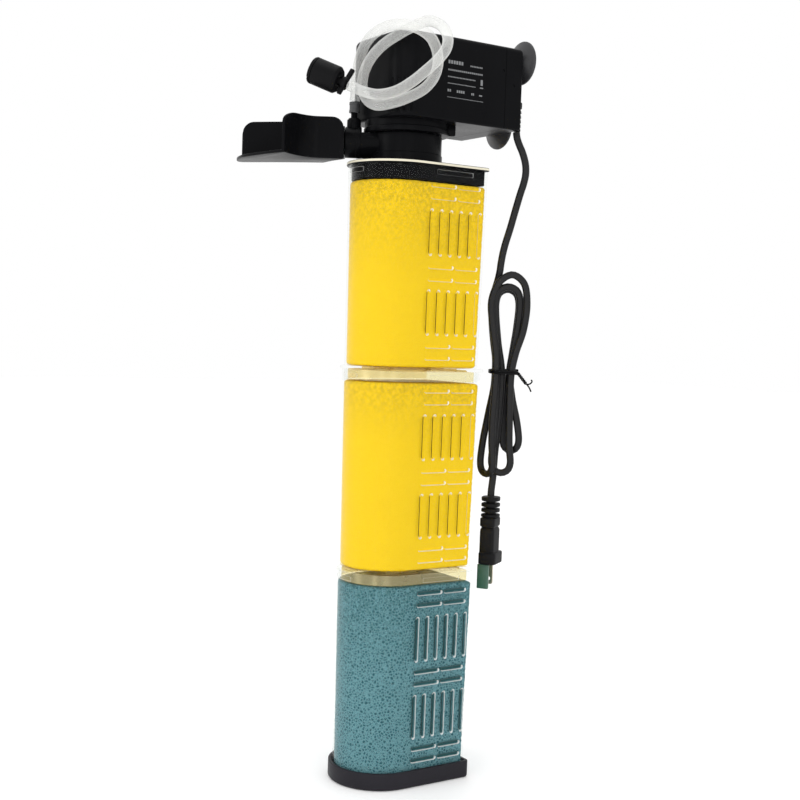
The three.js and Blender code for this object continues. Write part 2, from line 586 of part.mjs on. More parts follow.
// Outlet deflector: a fan-shaped chute, open above and in front, on a spigot in the nozzle
function deflector() {
  const near = smooth(NEAR_WALL, 14);
  const far = smooth(FAR_WALL, 14);
  const lip = smooth(LIP, 12);
  const floorFar = far.filter(([along]) => along > CHUTE_DIAGONAL).reverse();
  const floor = [...near, ...lip.slice(1), ...floorFar, [CHUTE_DIAGONAL, far[2][1]]];
  const strip = (line, inward) => {
    const inside = line.map(([along, across]) => [along, across + inward]);
    return prism(chuteShape([...line, ...inside.reverse()]), CHUTE_FLOOR, CHUTE_TOP);
  };
  const nearEnd = NEAR_WALL.at(-1)[0];
  const farEnd = FAR_WALL.at(-1)[0];
  const nearWall = strip(near, -CHUTE_WALL).intersect(sideCut(nearEnd, 7, 10, 50, CHUTE_FLOOR - 1));
  const farWall = strip(far, CHUTE_WALL).intersect(sideCut(farEnd, 8, -40, 0, REAR_PLATE_Z[0]));
  const [low, high] = [FAR_WALL[0][1], NEAR_WALL[0][1]];
  const rear = [[CHUTE_REAR, low], [CHUTE_REAR + 2, low], [CHUTE_REAR + 2, high], [CHUTE_REAR, high]];
  let body = prism(chuteShape(floor), CHUTE_FLOOR, CHUTE_FLOOR + CHUTE_WALL);
  body = joined([body, nearWall, farWall, prism(chuteShape(rear), ...REAR_PLATE_Z)]);
  body = body.add(outletBar(10.9, CHUTE_REAR, CHUTE_REAR + 2));
  body = body.add(outletBar(8.2, 31.5, CHUTE_REAR + 1));
  add('deflector', body.subtract(outletBar(6.6, 30, CHUTE_REAR + 3)), blackPlastic);
}

// Hose nut on the nipple, and the hose from it to the silencer
function airHose() {
  const [x, y] = NIPPLE_AT;
  const nut = [[2.5, 454.5], [3.6, 454.5], [3.6, 461.2], [3.1, 461.8], [2.5, 461.8]];
  add('hose_nut', turned(nut, 20, x, y), greyPlastic);
  add('air_hose', tube(HOSE_ROUTE, HOSE_RADIUS, 40), hoseSilicone);
}

// Silencer and its valve, made along Z and turned onto the hose's end
function silencer() {
  const group = new THREE.Group();
  group.position.copy(SILENCER_START);
  group.quaternion.setFromUnitVectors(new THREE.Vector3(0, 0, 1), SILENCER_AXIS);
  filter.add(group);
  const shell = [[7.6, 3], [BARREL_RADIUS, 3], [BARREL_RADIUS, BARREL_LONG - 1.5]];
  shell.push([7.5, BARREL_LONG], [2.6, BARREL_LONG], [2.6, BARREL_LONG - 2], [7.6, BARREL_LONG - 2]);
  add('silencer_body', turned(shell, 24), blackPlastic, group);
  const cap = [[1.5, 1], [7.6, 0], [BARREL_RADIUS, 1.4], [BARREL_RADIUS, 2.7], [7.3, 2.7]];
  cap.push([7.3, 5], [1.5, 5]);
  add('silencer_cap', turned(cap, 24), blackPlastic, group);
  add('silencer_foam', cylinder(7, 5.3, BARREL_LONG - 5, 0, 0, 20), greyFoam, group);
  const stem = [[1, 16], [4, 16], [4, 18.2], [2.2, 18.2], [2.2, NIPPLE_TIP], [1, NIPPLE_TIP]];
  add('silencer_nipple', turned(stem, 20), blackPlastic, group);
  const upperWing = box([-WING_UPPER, -3.2], [-1.6, 1.6], WING_ALONG);
  const lowerWing = box([3.2, WING_LOWER], [-1.6, 1.6], WING_ALONG);
  const valve = joined([ring(4.2, 2.6, ...WING_ALONG, 20), upperWing, lowerWing]);
  const handle = add('air_valve_wing', valve, blackPlastic, group);
  handle.rotation.z = WING_TURN;
}

// Hank of cord: a flat bundle with round ends and a waist where the tie holds it
function hank() {
  const [low, high] = HANK_Z;
  const round = 14;
  const shape = new THREE.Shape();
  shape.absarc(HANK_HALF - round, high - round, round, 0, Math.PI / 2, false);
  shape.absarc(round - HANK_HALF, high - round, round, Math.PI / 2, Math.PI, false);
  shape.lineTo(-HANK_HALF, TIE_Z[1] + 8);
  shape.lineTo(-WAIST_HALF, TIE_Z[1] + 1);
  shape.lineTo(-WAIST_HALF, TIE_Z[0] - 1);
  shape.lineTo(-HANK_HALF, TIE_Z[0] - 8);
  shape.absarc(round - HANK_HALF, low + round, round, Math.PI, 1.5 * Math.PI, false);
  shape.absarc(HANK_HALF - round, low + round, round, 1.5 * Math.PI, 2 * Math.PI, false);
  shape.lineTo(HANK_HALF, TIE_Z[0] - 8);
  shape.lineTo(WAIST_HALF, TIE_Z[0] - 1);
  shape.lineTo(WAIST_HALF, TIE_Z[1] + 1);
  shape.lineTo(HANK_HALF, TIE_Z[1] + 8);
  shape.closePath();
  const geometry = new THREE.ExtrudeGeometry(shape, {
    depth: HANK_THICK,
    bevelEnabled: false,
    curveSegments: 6,
  });
  const up = new THREE.Vector3(0, 0, 1);
  const away = new THREE.Vector3().crossVectors(HANK_ACROSS, up);
  const origin = new THREE.Vector3(...HANK_CENTRE, 0).addScaledVector(away, -HANK_THICK / 2);
  const matrix = turnedTo(HANK_ACROSS, up, away, origin);
  add('cord_hank', solid(geometry.applyMatrix4(matrix)), blackRubber);
  const band = (across, thick, z) => {
    const block = new THREE.BoxGeometry(2 * across, z[1] - z[0], thick);
    return solid(block.translate(0, (z[0] + z[1]) / 2, HANK_THICK / 2).applyMatrix4(matrix));
  };
  const outer = band(WAIST_HALF + 1.6, HANK_THICK + 3.2, TIE_Z);
  const inner = band(WAIST_HALF + GAP, HANK_THICK + 2 * GAP, [TIE_Z[0] - 1, TIE_Z[1] + 1]);
  add('cord_tie', outer.subtract(inner), blackPlastic);
}

// An oval bar along Z whose long way runs from blade to blade
function oval(long, wide, low, high, taper = 1) {
  const geometry = new THREE.CylinderGeometry(1, taper, high - low, 16).rotateX(Math.PI / 2);
  geometry.scale(long, wide, 1).translate(0, 0, (low + high) / 2);
  return solid(geometry);
}

function plug() {
  const group = new THREE.Group();
  group.position.set(...PLUG_AT, 0);
  group.rotation.z = Math.atan2(PIN_ACROSS.y, PIN_ACROSS.x);
  filter.add(group);
  let relief = oval(3.2, 3.2, 179.7, 194.1, 1.2);
  for (const [low, high, long] of RELIEF_RIBS) {
    relief = relief.add(oval(long, long - 0.5, low, high));
  }
  add('plug_strain_relief', relief, blackRubber, group);
  const collar = box([-7.6, 7.6], [-5.6, 5.6], [172.8, 179.4]);
  const waist = box([-6.2, 6.2], [-4.6, 4.6], [171, 173.8]);
  const body = box([-7.6, 7.6], [-5.4, 5.4], [154, 172]);
  const shift = PLUG_FLANGE_SHIFT;
  const flange = box([-9.6, 9.6], [shift - 6.4, shift + 6.4], [BLADE_TOP + GAP, 154.6]);
  add('plug_body', joined([collar, waist, body, flange]), blackRubber, group);
  const [thick, wide, long] = BLADE;
  const across = [BLADE_SHIFT - wide / 2, BLADE_SHIFT + wide / 2];
  for (const [name, sign] of [['plug_blade_near', -1], ['plug_blade_far', 1]]) {
    const x = (sign * BLADE_SPACING) / 2;
    const blade = box([x - thick / 2, x + thick / 2], across, [BLADE_TOP - long, BLADE_TOP]);
    add(name, blade, brass, group);
  }
  const x = -BLADE_SPACING / 2;
  const end = BLADE_TOP - long;
  const sleeve = box([x - 1.7, x + 1.7], [across[0] - 1, across[1] + 1], [end - 1.2, BLADE_TOP]);
  const hole = [across[0] - GAP, across[1] + GAP];
  const slot = box([x - 1.05, x + 1.05], hole, [end - GAP, BLADE_TOP + 1]);
  add('blade_sleeve', sleeve.subtract(slot), greenPlastic, group);
}

baseCap();
['lower_cup', 'middle_cup', 'upper_cup'].forEach(cup);
sponge('lower_sponge', 0, tealFoam);
sponge('middle_sponge', 1, yellowFoam);
sponge('upper_sponge', 2, yellowFoam);
lid();
volute();
impellerCover();
rotor();
rotorWell();
stator();
motorHousing();
rearCover();
for (const [name, x, z] of CUP_PLACES) suctionCup(`suction_cup_${name}`, x, z);
deflector();
airHose();
silencer();
cordGland();
add('power_cord_drop', tube(DROP_ROUTE, CORD_RADIUS, 14), blackRubber);
hank();
add('power_cord_tail', tube(TAIL_ROUTE, CORD_RADIUS, 2), blackRubber);
plug();

export default filter;
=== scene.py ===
"""Internal aquarium power filter: the looks of every visible piece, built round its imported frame.

Lengths below are in millimetres, in the frame of the CAD model: +Z up, the origin under the
middle of the base cap, the rounded nose towards -Y and the flat back with its suction cups
towards +Y. They become metres when a mesh is made.
"""
import json
import math

import bmesh
import bpy
import numpy as np
from mathutils import Matrix, Vector, noise
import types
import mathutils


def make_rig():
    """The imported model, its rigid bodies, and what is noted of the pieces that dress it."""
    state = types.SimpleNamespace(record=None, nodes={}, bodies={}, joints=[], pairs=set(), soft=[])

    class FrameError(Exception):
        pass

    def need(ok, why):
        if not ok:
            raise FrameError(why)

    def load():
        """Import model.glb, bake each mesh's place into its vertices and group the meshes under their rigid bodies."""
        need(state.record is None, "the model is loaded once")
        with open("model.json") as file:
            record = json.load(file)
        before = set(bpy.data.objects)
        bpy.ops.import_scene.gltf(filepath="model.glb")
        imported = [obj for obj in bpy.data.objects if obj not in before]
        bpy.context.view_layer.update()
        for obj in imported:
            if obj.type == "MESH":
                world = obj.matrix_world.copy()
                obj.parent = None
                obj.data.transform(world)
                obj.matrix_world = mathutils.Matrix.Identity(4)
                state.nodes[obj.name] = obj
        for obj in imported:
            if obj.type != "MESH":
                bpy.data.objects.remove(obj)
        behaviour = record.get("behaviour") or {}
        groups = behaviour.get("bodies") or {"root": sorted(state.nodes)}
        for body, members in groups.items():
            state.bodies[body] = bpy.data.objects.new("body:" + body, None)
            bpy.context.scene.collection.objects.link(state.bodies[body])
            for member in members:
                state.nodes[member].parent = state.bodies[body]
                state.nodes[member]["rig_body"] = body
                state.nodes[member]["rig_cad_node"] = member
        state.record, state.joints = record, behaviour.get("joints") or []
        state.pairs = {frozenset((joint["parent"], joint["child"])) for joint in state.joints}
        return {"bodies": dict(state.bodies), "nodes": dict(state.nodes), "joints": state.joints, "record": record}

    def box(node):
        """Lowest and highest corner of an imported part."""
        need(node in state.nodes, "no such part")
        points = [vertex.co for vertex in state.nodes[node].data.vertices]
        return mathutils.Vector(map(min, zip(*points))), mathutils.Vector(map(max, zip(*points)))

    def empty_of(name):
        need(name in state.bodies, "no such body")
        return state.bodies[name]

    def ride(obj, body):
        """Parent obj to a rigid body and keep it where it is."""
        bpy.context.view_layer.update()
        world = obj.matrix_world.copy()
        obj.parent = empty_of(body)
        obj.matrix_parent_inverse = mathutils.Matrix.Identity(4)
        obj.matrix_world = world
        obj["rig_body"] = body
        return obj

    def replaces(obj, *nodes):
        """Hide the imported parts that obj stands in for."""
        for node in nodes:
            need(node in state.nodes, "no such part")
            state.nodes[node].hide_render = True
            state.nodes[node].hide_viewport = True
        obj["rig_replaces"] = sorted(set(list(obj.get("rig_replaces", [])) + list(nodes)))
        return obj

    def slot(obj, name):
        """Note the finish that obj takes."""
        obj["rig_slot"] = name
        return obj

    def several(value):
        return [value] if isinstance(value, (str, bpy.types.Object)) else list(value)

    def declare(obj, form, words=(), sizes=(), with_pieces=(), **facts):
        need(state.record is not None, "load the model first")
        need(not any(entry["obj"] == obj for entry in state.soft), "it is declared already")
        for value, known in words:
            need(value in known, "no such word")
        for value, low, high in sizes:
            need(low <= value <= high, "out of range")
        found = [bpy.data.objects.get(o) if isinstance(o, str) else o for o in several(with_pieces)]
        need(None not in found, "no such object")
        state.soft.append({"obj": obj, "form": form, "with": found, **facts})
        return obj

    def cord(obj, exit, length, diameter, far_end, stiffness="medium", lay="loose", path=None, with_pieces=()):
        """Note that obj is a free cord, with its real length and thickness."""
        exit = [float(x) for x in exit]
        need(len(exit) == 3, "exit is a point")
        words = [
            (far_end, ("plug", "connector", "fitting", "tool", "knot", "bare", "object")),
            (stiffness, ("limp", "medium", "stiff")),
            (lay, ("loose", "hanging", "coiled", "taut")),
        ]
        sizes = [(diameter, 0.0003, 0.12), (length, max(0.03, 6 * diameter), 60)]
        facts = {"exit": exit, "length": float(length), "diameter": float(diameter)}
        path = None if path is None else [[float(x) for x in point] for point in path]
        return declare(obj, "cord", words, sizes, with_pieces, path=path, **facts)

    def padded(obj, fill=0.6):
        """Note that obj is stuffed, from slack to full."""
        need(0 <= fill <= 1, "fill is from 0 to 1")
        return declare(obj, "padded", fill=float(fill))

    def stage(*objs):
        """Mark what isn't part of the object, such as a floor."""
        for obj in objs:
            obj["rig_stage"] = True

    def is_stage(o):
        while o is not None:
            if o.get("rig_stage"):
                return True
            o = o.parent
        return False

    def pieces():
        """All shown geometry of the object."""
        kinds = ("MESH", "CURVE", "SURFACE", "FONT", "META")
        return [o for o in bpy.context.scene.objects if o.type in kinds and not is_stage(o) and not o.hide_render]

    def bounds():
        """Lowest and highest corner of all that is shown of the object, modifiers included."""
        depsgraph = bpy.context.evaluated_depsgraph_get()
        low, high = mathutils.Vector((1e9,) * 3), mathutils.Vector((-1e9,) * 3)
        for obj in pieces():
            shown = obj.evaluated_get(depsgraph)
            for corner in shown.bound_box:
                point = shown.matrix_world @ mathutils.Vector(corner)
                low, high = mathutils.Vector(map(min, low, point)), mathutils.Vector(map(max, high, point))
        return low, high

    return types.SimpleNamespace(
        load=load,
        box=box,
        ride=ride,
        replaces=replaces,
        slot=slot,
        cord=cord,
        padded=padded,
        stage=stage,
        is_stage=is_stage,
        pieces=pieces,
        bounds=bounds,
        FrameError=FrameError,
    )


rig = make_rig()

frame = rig.load()
CAD_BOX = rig.bounds()
NODES = frame["nodes"]
MM = 0.001

# Camera
CAMERA_AT = (742.156, -489.370, 308.506)
CAMERA_AZIMUTH = 56.634
CAMERA_ELEVATION = 3.052
CAMERA_ROLL = 1.941
LENS = 58.056

# The case: a half-round nose, straight sides and a flat back
GAP = 0.3
CUP_PITCH = 137
JOINT_Z = 7.9
FLANGE_THICK = 2.4
NOSE_Y = -10
CUP_HALF = 31.1
CUP_BACK = 42.6
DRAFT = 1.4
CUP_CORNER = 3
LEAST_CORNER = 0.8
WALL = 1.8
SEEN_WALL = 1.2
SPIGOT_DEEP = 7
SPIGOT_WALL = 1.6
LID_SKIRT_DEEP = 9.9
FLANGE_HALF = 34.1
FLANGE_BACK = 46.3
FLANGE_CORNER = 3.4
LID_HALF = 33.7
LID_BACK = 45.3
BASE_HALF = 33.8
BASE_BACK = 45.2
BASE_HEIGHT = 11.4
BASE_FLOOR = 2.4

# Inlet slots, heights above a cup's own zero
SLOT_WIDE = 2
SLOT_PITCH = 7.94
SLOT_FIRST_Y = -1.35
SLOTS_IN_ROW = 6
UPRIGHT_BLOCKS = ((33, 62.1), (86, 115.6))
CROSS_SLOT_Z = (17, 25, 69.7, 78, 124, 132)
CROSS_SLOT_Y = ((-2, 17.3), (20, 37.2))
SNAP_WINDOW_Y = (1.7, 31.3)
SNAP_WINDOW_NOSE = 8.5
SNAP_WINDOW_DROP = 3.4
SNAP_WINDOW_DEEP = 0.6
SLOT_FLARE_DEEP = 0.5
UPRIGHT_FLARE = (1.0, 0.3)
CROSS_FLARE = (0.8, 0.45)

# Foam blocks: how far their painted shade reaches down from the top, their rounded edge, and their mesh
TOP_SHADE_REACH = (60, 40, 70)
FOAM_EDGE = 2.2
FOAM_STEP = 1.15
FOAM_CAP = (26, 22, 17, 12, 8, 5.5, 3.8)

# Pump head
AXIS_Y = -3
LID_TOP = JOINT_Z + 3 * CUP_PITCH + FLANGE_THICK
NECK_RADIUS = 25
NECK_TOP = 441
COLLAR_RADIUS = 29
HEAD_BOTTOM = 449
HEAD_TOP = 504.8
HEAD_HALF = 34.5
HEAD_FRONT = -31
HEAD_REAR = 69
HEAD_FRONT_ROUND = 16
HEAD_REAR_ROUND = 1.8
HEAD_WALL = 2.5
SEAM_Y = 54
CUP_PLACES = {"left": (-24, 497.5), "right": (24, 497.5), "bottom": (0, 455.5)}
BAR_ROWS = (  # height of the row's middle, its bars' height, its ends in y, and the bars' pitch
    (487.6, 2.3, 6, 19, 2.1), (486.9, 1.0, 24, 34, 1.3), (482.4, 1.1, 6, 35.5, 1.6),
    (477.9, 0.8, 6, 29, 1.2), (473.6, 0.6, 6, 29, 1.0), (468.9, 1.7, 6, 9.5, 1.6),
    (468.9, 1.7, 13.5, 20.5, 1.7), (468.6, 1.5, 25.5, 28.3, 1.3), (468.4, 0.9, 32, 35.5, 3.5),
    (464.5, 0.45, 6, 36, 0.9),
)
BAR_SHARE = 0.72
BAR_SIGN = (((32.4, 35.2), (473.2, 474)), ((32.9, 34.7), (475.2, 479)))
SUCTION_RADIUS = 15
SUCTION_PLANE = 76.5

# Outlet and deflector
OUTLET = Vector((-0.55, -0.835, 0)).normalized()
SIDE = Vector((-OUTLET.y, OUTLET.x, 0))
OUTLET_OFFSET = 6.5
OUTLET_Z = 434.7
NOZZLE_END = 41
NIPPLE_AT = (-14, -36.2)
CHUTE_REAR = 41.4
CHUTE_FLOOR = 422
CHUTE_TOP = 449.7
CHUTE_WALL = 2
CHUTE_DIAGONAL = 56
CHUTE_REAR_ROUND = 8
REAR_PLATE_Z = (425, 438)
NEAR_WALL = [(CHUTE_REAR, 20), (52, 20), (62, 20.6), (70, 27), (75.5, 35.5), (78.6, 43)]
FAR_WALL = [(CHUTE_REAR, -4.6), (56, -5), (72, -7.6), (90, -11.4), (104, -15), (113, -17)]
LIP = [(78.6, 43), (89.5, 33.4), (98.6, 23.5), (105.6, 15.5), (110.8, 8), (115.4, -5), (116.2, -14),
       (113, -17)]

# Silencer
SILENCER_START = Vector((-9.6, -72.2, 478))
SILENCER_AXIS = Vector((0.685, 0.620, -0.381)).normalized()
BARREL_RADIUS = 9
BARREL_LONG = 20.5
NIPPLE_TIP = 27.1
WING_ALONG = (23, 26)
WING_UPPER = 11.5
WING_LOWER = 8.5
WING_TURN = 0.32

# Air hose, mains lead and plug
HOSE_RADIUS = 3.5
HOSE_ROUTE = [
    (-14, -36.2, 462.6), (-13.4, -36.2, 466.5), (-11.7, -37, 472.9), (-8, -38.4, 481.5),
    (0, -40.5, 491.8), (12.1, -41.7, 499.7), (26.5, -39.5, 504.3), (41.5, -35.4, 503.9),
    (52.4, -30.3, 500.1), (57.6, -24.8, 494.9), (57.3, -19.7, 488.2), (54.5, -16.2, 480.9),
    (50.9, -16.1, 472.6), (46, -19.8, 465.2), (37.8, -27.3, 459.3), (27.6, -34.4, 455.9),
    (18, -39.1, 455.5), (10, -41.6, 460.1), (5.1, -42, 468.6), (5.6, -41.5, 477.7),
    (12.1, -40.4, 486.6), (21.4, -37.4, 494), (31.1, -32.6, 499.5), (39.1, -26.1, 504.5),
    (47.6, -20.4, 507.4), (57.2, -17.2, 503.6), (65, -16.9, 495.5), (68.5, -19.8, 487),
    (66.3, -24.4, 479.5), (60.1, -29.4, 472.6), (51.6, -34.4, 466), (43.1, -40, 461.1),
    (32.6, -46.2, 459.5), (22.3, -50.8, 461.9), (14.8, -51.6, 464.7), (9.6, -54.9, 467.3),
]
CORD_WIDE = 5
CORD_THICK = 3.2
DROP_ROUTE = [
    (24.4, 72.9, 449.6), (24.8, 73.2, 446), (26.1, 74.5, 441), (27.9, 76.3, 435.4),
    (29.3, 78.1, 427.8), (29.5, 78.5, 420.9), (28.9, 77.6, 414.5), (27.7, 75.8, 407),
    (26.2, 73.3, 395.7), (24.3, 70.6, 382.4), (22.8, 68.3, 372.5), (21.9, 66.9, 365),
    (21.3, 66, 357.5), (21, 65.6, 352.6),
]
TAIL_ROUTE = [(21.4, 66.1, 208.7), (21.2, 65.8, 204), (20.9, 65.4, 199), (20.8, 65.3, 194.4)]
HANK_CENTRE = Vector((23.9, 69.8, 0))
HANK_ACROSS = Vector((0.55, 0.835, 0)).normalized()
HANK_OUT = Vector((HANK_ACROSS.y, -HANK_ACROSS.x, 0))
HANK_THICK = 14
TIE_Z = 282.5
WAIST_HALF = 10.5
PLUG_AT = Vector((20.9, 65.4, 0))
PIN_ACROSS = Vector((-0.563, 0.826, 0)).normalized()
BLADE_SPACING = 12.7
BLADE_TOP = 146.5
BLADE_TIP = 130.5
BLADE_HALF = 3.15
RELIEF_RIBS = ((191, 194.1, 6.8), (187, 189.6, 6.8), (183.2, 185.8, 6.8), (179.7, 181.8, 6.9))
BLADE_SHIFT = 1.8
FLANGE_SHIFT = -1


# ---------------------------------------------------------------- camera

def azimuth_basis(azimuth, elevation):
    """Right, up and back of a camera turned by an azimuth and raised by an elevation, in degrees."""
    a, e = math.radians(azimuth), math.radians(elevation)
    back = Vector((math.sin(a) * math.cos(e), -math.cos(a) * math.cos(e), math.sin(e)))
    right = Vector((math.cos(a), math.sin(a), 0))
    return right, back.cross(right), back


def make_camera():
    """The camera from which the photograph was taken."""
    right, up, back = azimuth_basis(CAMERA_AZIMUTH, CAMERA_ELEVATION)
    roll = math.radians(CAMERA_ROLL)
    x = right * math.cos(roll) + up * math.sin(roll)
    y = up * math.cos(roll) - right * math.sin(roll)
    data = bpy.data.cameras.new("camera")
    data.lens = LENS
    data.sensor_width = 36
    data.clip_start = 0.01
    data.clip_end = 50
    camera = bpy.data.objects.new("camera", data)
    matrix = Matrix((x, y, back)).transposed().to_4x4()
    matrix.translation = Vector(CAMERA_AT) * MM
    camera.matrix_world = matrix
    bpy.context.scene.collection.objects.link(camera)
    bpy.context.scene.camera = camera


make_camera()


# ---------------------------------------------------------------- node helpers

class Nodes:
    """A material's node tree with short calls for the nodes that the finishes below share."""

    def __init__(self, name):
        self.material = bpy.data.materials.new(name)
        self.material.use_nodes = True
        self.tree = self.material.node_tree
        self.shader = self.tree.nodes["Principled BSDF"]
        self.output = self.tree.nodes["Material Output"]

    def new(self, kind, **values):
        node = self.tree.nodes.new(kind)
        for key, value in values.items():
            if key in node.bl_rna.properties:
                setattr(node, key, value)
            else:
                node.inputs[key.replace("_", " ")].default_value = value
        return node

    def link(self, output, target):
        self.tree.links.new(output, target)

    def set(self, **values):
        for key, value in values.items():
            self.shader.inputs[key.replace("_", " ")].default_value = value

    def place(self):
        return self.new("ShaderNodeTexCoord").outputs["Object"]

    def noise(self, scale, detail=3, roughness=0.5, at=None):
        node = self.new("ShaderNodeTexNoise", Scale=scale, Detail=detail, Roughness=roughness)
        self.link(at or self.place(), node.inputs["Vector"])
        return node.outputs["Fac"]

    def voronoi(self, scale, at, feature="F1"):
        node = self.new("ShaderNodeTexVoronoi", feature=feature, Scale=scale)
        self.link(at, node.inputs["Vector"])
        return node.outputs["Distance"]

    def wave(self, scale, distortion, direction):
        node = self.new("ShaderNodeTexWave", Scale=scale, Distortion=distortion,
                        bands_direction=direction)
        self.link(self.place(), node.inputs["Vector"])
        return node.outputs["Fac"]

    def ramp(self, value, *stops):
        """A grey from one height to the next, as (place, grey) stops."""
        node = self.new("ShaderNodeValToRGB")
        elements = node.color_ramp.elements
        while len(elements) < len(stops):
            elements.new(0.5)
        for element, (position, grey) in zip(elements, stops):
            element.position = position
            element.color = (grey, grey, grey, 1)
        self.link(value, node.inputs["Fac"])
        return node.outputs["Color"]

    def math(self, operation, a, b=0.0):
        node = self.new("ShaderNodeMath", operation=operation)
        for socket, value in zip(node.inputs, (a, b)):
            if isinstance(value, (int, float)):
                socket.default_value = value
            else:
                self.link(value, socket)
        return node.outputs[0]

    def scaled(self, value, gain, lift):
        return self.math("ADD", self.math("MULTIPLY", value, gain), lift)

    def mix(self, factor, a, b):
        node = self.new("ShaderNodeMix", data_type="RGBA")
        sockets = (node.inputs[0], node.inputs[6], node.inputs[7])
        for socket, value in zip(sockets, (factor, a, b)):
            if isinstance(value, tuple):
                socket.default_value = (*value, 1)
            elif isinstance(value, (int, float)):
                socket.default_value = value
            else:
                self.link(value, socket)
        return node.outputs[2]

    def bump(self, height, distance, strength=1.0, normal=None):
        node = self.new("ShaderNodeBump", Strength=strength, Distance=distance * MM)
        self.link(height, node.inputs["Height"])
        if normal:
            self.link(normal, node.inputs["Normal"])
        return node.outputs["Normal"]

    def attribute(self, name):
        return self.new("ShaderNodeAttribute", attribute_name=name).outputs["Fac"]

    def colour(self, value):
        self.link(value, self.shader.inputs["Base Color"])

    def rough(self, value):
        self.link(value, self.shader.inputs["Roughness"])

    def normal(self, value):
        self.link(value, self.shader.inputs["Normal"])

    def see_through(self, tint, power, rim, veil):
        """Lets light pass, least where the surface is met at a slant."""
        facing = self.new("ShaderNodeLayerWeight", Blend=0.5).outputs["Facing"]
        glass = self.new("ShaderNodeBsdfTransparent", Color=(*tint, 1))
        mix = self.new("ShaderNodeMixShader")
        self.link(self.scaled(self.math("POWER", facing, power), rim, veil), mix.inputs[0])
        self.link(glass.outputs[0], mix.inputs[1])
        self.link(self.shader.outputs[0], mix.inputs[2])
        self.link(mix.outputs[0], self.output.inputs["Surface"])


def moulded(name, colour, roughness, grain=0.012, specular=0.5, lift=1.25):
    """Injection-moulded plastic: a fine spark-eroded grain, and shine that drifts a little."""
    n = Nodes(name)
    drift = n.noise(38, 4)
    fine = n.noise(5200, 2)
    lighter = tuple(min(1, c * lift) for c in colour)
    n.colour(n.mix(n.ramp(drift, (0.35, 0), (0.7, 1)), colour, lighter))
    spread = n.math("MULTIPLY", n.math("SUBTRACT", drift, 0.5), 0.16)
    speck = n.math("MULTIPLY", n.math("SUBTRACT", fine, 0.5), 0.12)
    n.rough(n.math("ADD", n.math("ADD", spread, speck), roughness))
    n.normal(n.bump(fine, grain))
    n.set(Specular_IOR_Level=specular)
    return n.material


def rubber(name, colour, roughness, specular=0.35):
    """Soft PVC: matt, with a faint bloom and slight orange peel."""
    n = Nodes(name)
    bloom = n.noise(60, 5, 0.6)
    peel = n.noise(900, 3)
    pale = tuple(c * 1.7 + 0.003 for c in colour)
    n.colour(n.mix(n.ramp(bloom, (0.45, 0), (0.8, 0.6)), colour, pale))
    n.rough(n.scaled(bloom, 0.22, roughness - 0.1))
    n.normal(n.bump(peel, 0.03))
    n.set(Specular_IOR_Level=specular)
    return n.material


def clear_styrene(name, veil, rim, tint=(0.985, 0.99, 0.985), roughness=0.05,
                  skin=(0.86, 0.87, 0.86)):
    """Clear moulded plastic: a thin veil face on, brighter and glossier towards its edges."""
    n = Nodes(name)
    n.normal(n.bump(n.noise(22, 2), 0.25, 0.5))
    n.rough(n.scaled(n.noise(140, 3), 0.06, roughness))
    n.set(Base_Color=(*skin, 1), Metallic=0.55, Specular_IOR_Level=1.0)
    n.see_through(tint, 4.5, rim, veil)
    return n.material


def cell_foam(name, pore, shallow, deep, strut, shade, upper_shade_colour, painted_glint=0.0):
    """Open-cell foam: pores painted darker as shade and struts lighter as lit edges, with painted shadow behind the
    slots, painted shade near the block's top and, if asked, painted glints.
    """
    n = Nodes(name)
    at = n.place()
    warp = n.new("ShaderNodeTexNoise", Scale=700 / pore, Detail=2)
    n.link(at, warp.inputs["Vector"])
    shift = n.new("ShaderNodeVectorMath", operation="MULTIPLY_ADD")
    n.link(warp.outputs["Color"], shift.inputs[0])
    shift.inputs[1].default_value = (0.4 * pore * MM,) * 3
    n.link(at, shift.inputs[2])
    cells = n.voronoi(1000 / pore, shift.outputs[0])
    edges = n.voronoi(1000 / pore, shift.outputs[0], "DISTANCE_TO_EDGE")
    small = n.voronoi(1900 / pore, at)
    # Painted shade and light: pores darker as shade in the cells, struts lighter as lit edges.
    web = n.ramp(edges, (0, 1), (0.11, 0.75), (0.3, 0))
    body = n.mix(n.ramp(small, (0.1, 0), (0.65, 1)), deep, shallow)
    body = n.mix(n.ramp(n.noise(55, 3), (0.3, 0), (0.72, 0.45)), body, shallow)
    body = n.mix(n.math("MULTIPLY", web, 0.7), body, strut)
    body = n.mix(n.attribute("shade"), body, shade)
    # Painted shade near the top of each block, where the part above covers it, broken up by noise.
    top_shade = n.math("MULTIPLY", n.attribute("top_shade"), n.ramp(n.noise(480, 4, 0.7), (0.42, 0), (0.62, 1)))
    body = n.mix(n.math("MULTIPLY", top_shade, 0.8), body, upper_shade_colour)
    # Painted glints: white highlights on a few struts, put into the colour.
    if painted_glint:
        glint = n.ramp(n.voronoi(2600 / pore, at), (0, 1), (0.16, 0))
        chosen = n.ramp(n.noise(900 / pore, 1), (0.52, 0), (0.6, 1))
        lit = n.math("MULTIPLY", n.math("MULTIPLY", glint, chosen), painted_glint)
        body = n.mix(lit, body, (0.75, 0.95, 0.93))
    n.colour(body)
    first = n.bump(web, 0.07 * pore)
    n.normal(n.bump(n.ramp(cells, (0, 0), (0.6, 1)), 0.09 * pore, 1.0, first))
    n.set(Roughness=0.75, Specular_IOR_Level=0.25)
    return n.material


def metal(name, colour, roughness):
    """Worn metal with drawn lines."""
    n = Nodes(name)
    stretch = n.new("ShaderNodeMapping", Scale=(1400, 1400, 30))
    n.link(n.place(), stretch.inputs["Vector"])
    lines = n.noise(1, 3, at=stretch.outputs[0])
    dull = tuple(c * 0.7 for c in colour)
    n.colour(n.mix(n.ramp(n.noise(160, 4), (0.4, 0), (0.7, 0.6)), colour, dull))
    n.rough(n.scaled(lines, 0.25, roughness))
    n.normal(n.bump(lines, 0.01))
    n.set(Metallic=1.0)
    return n.material


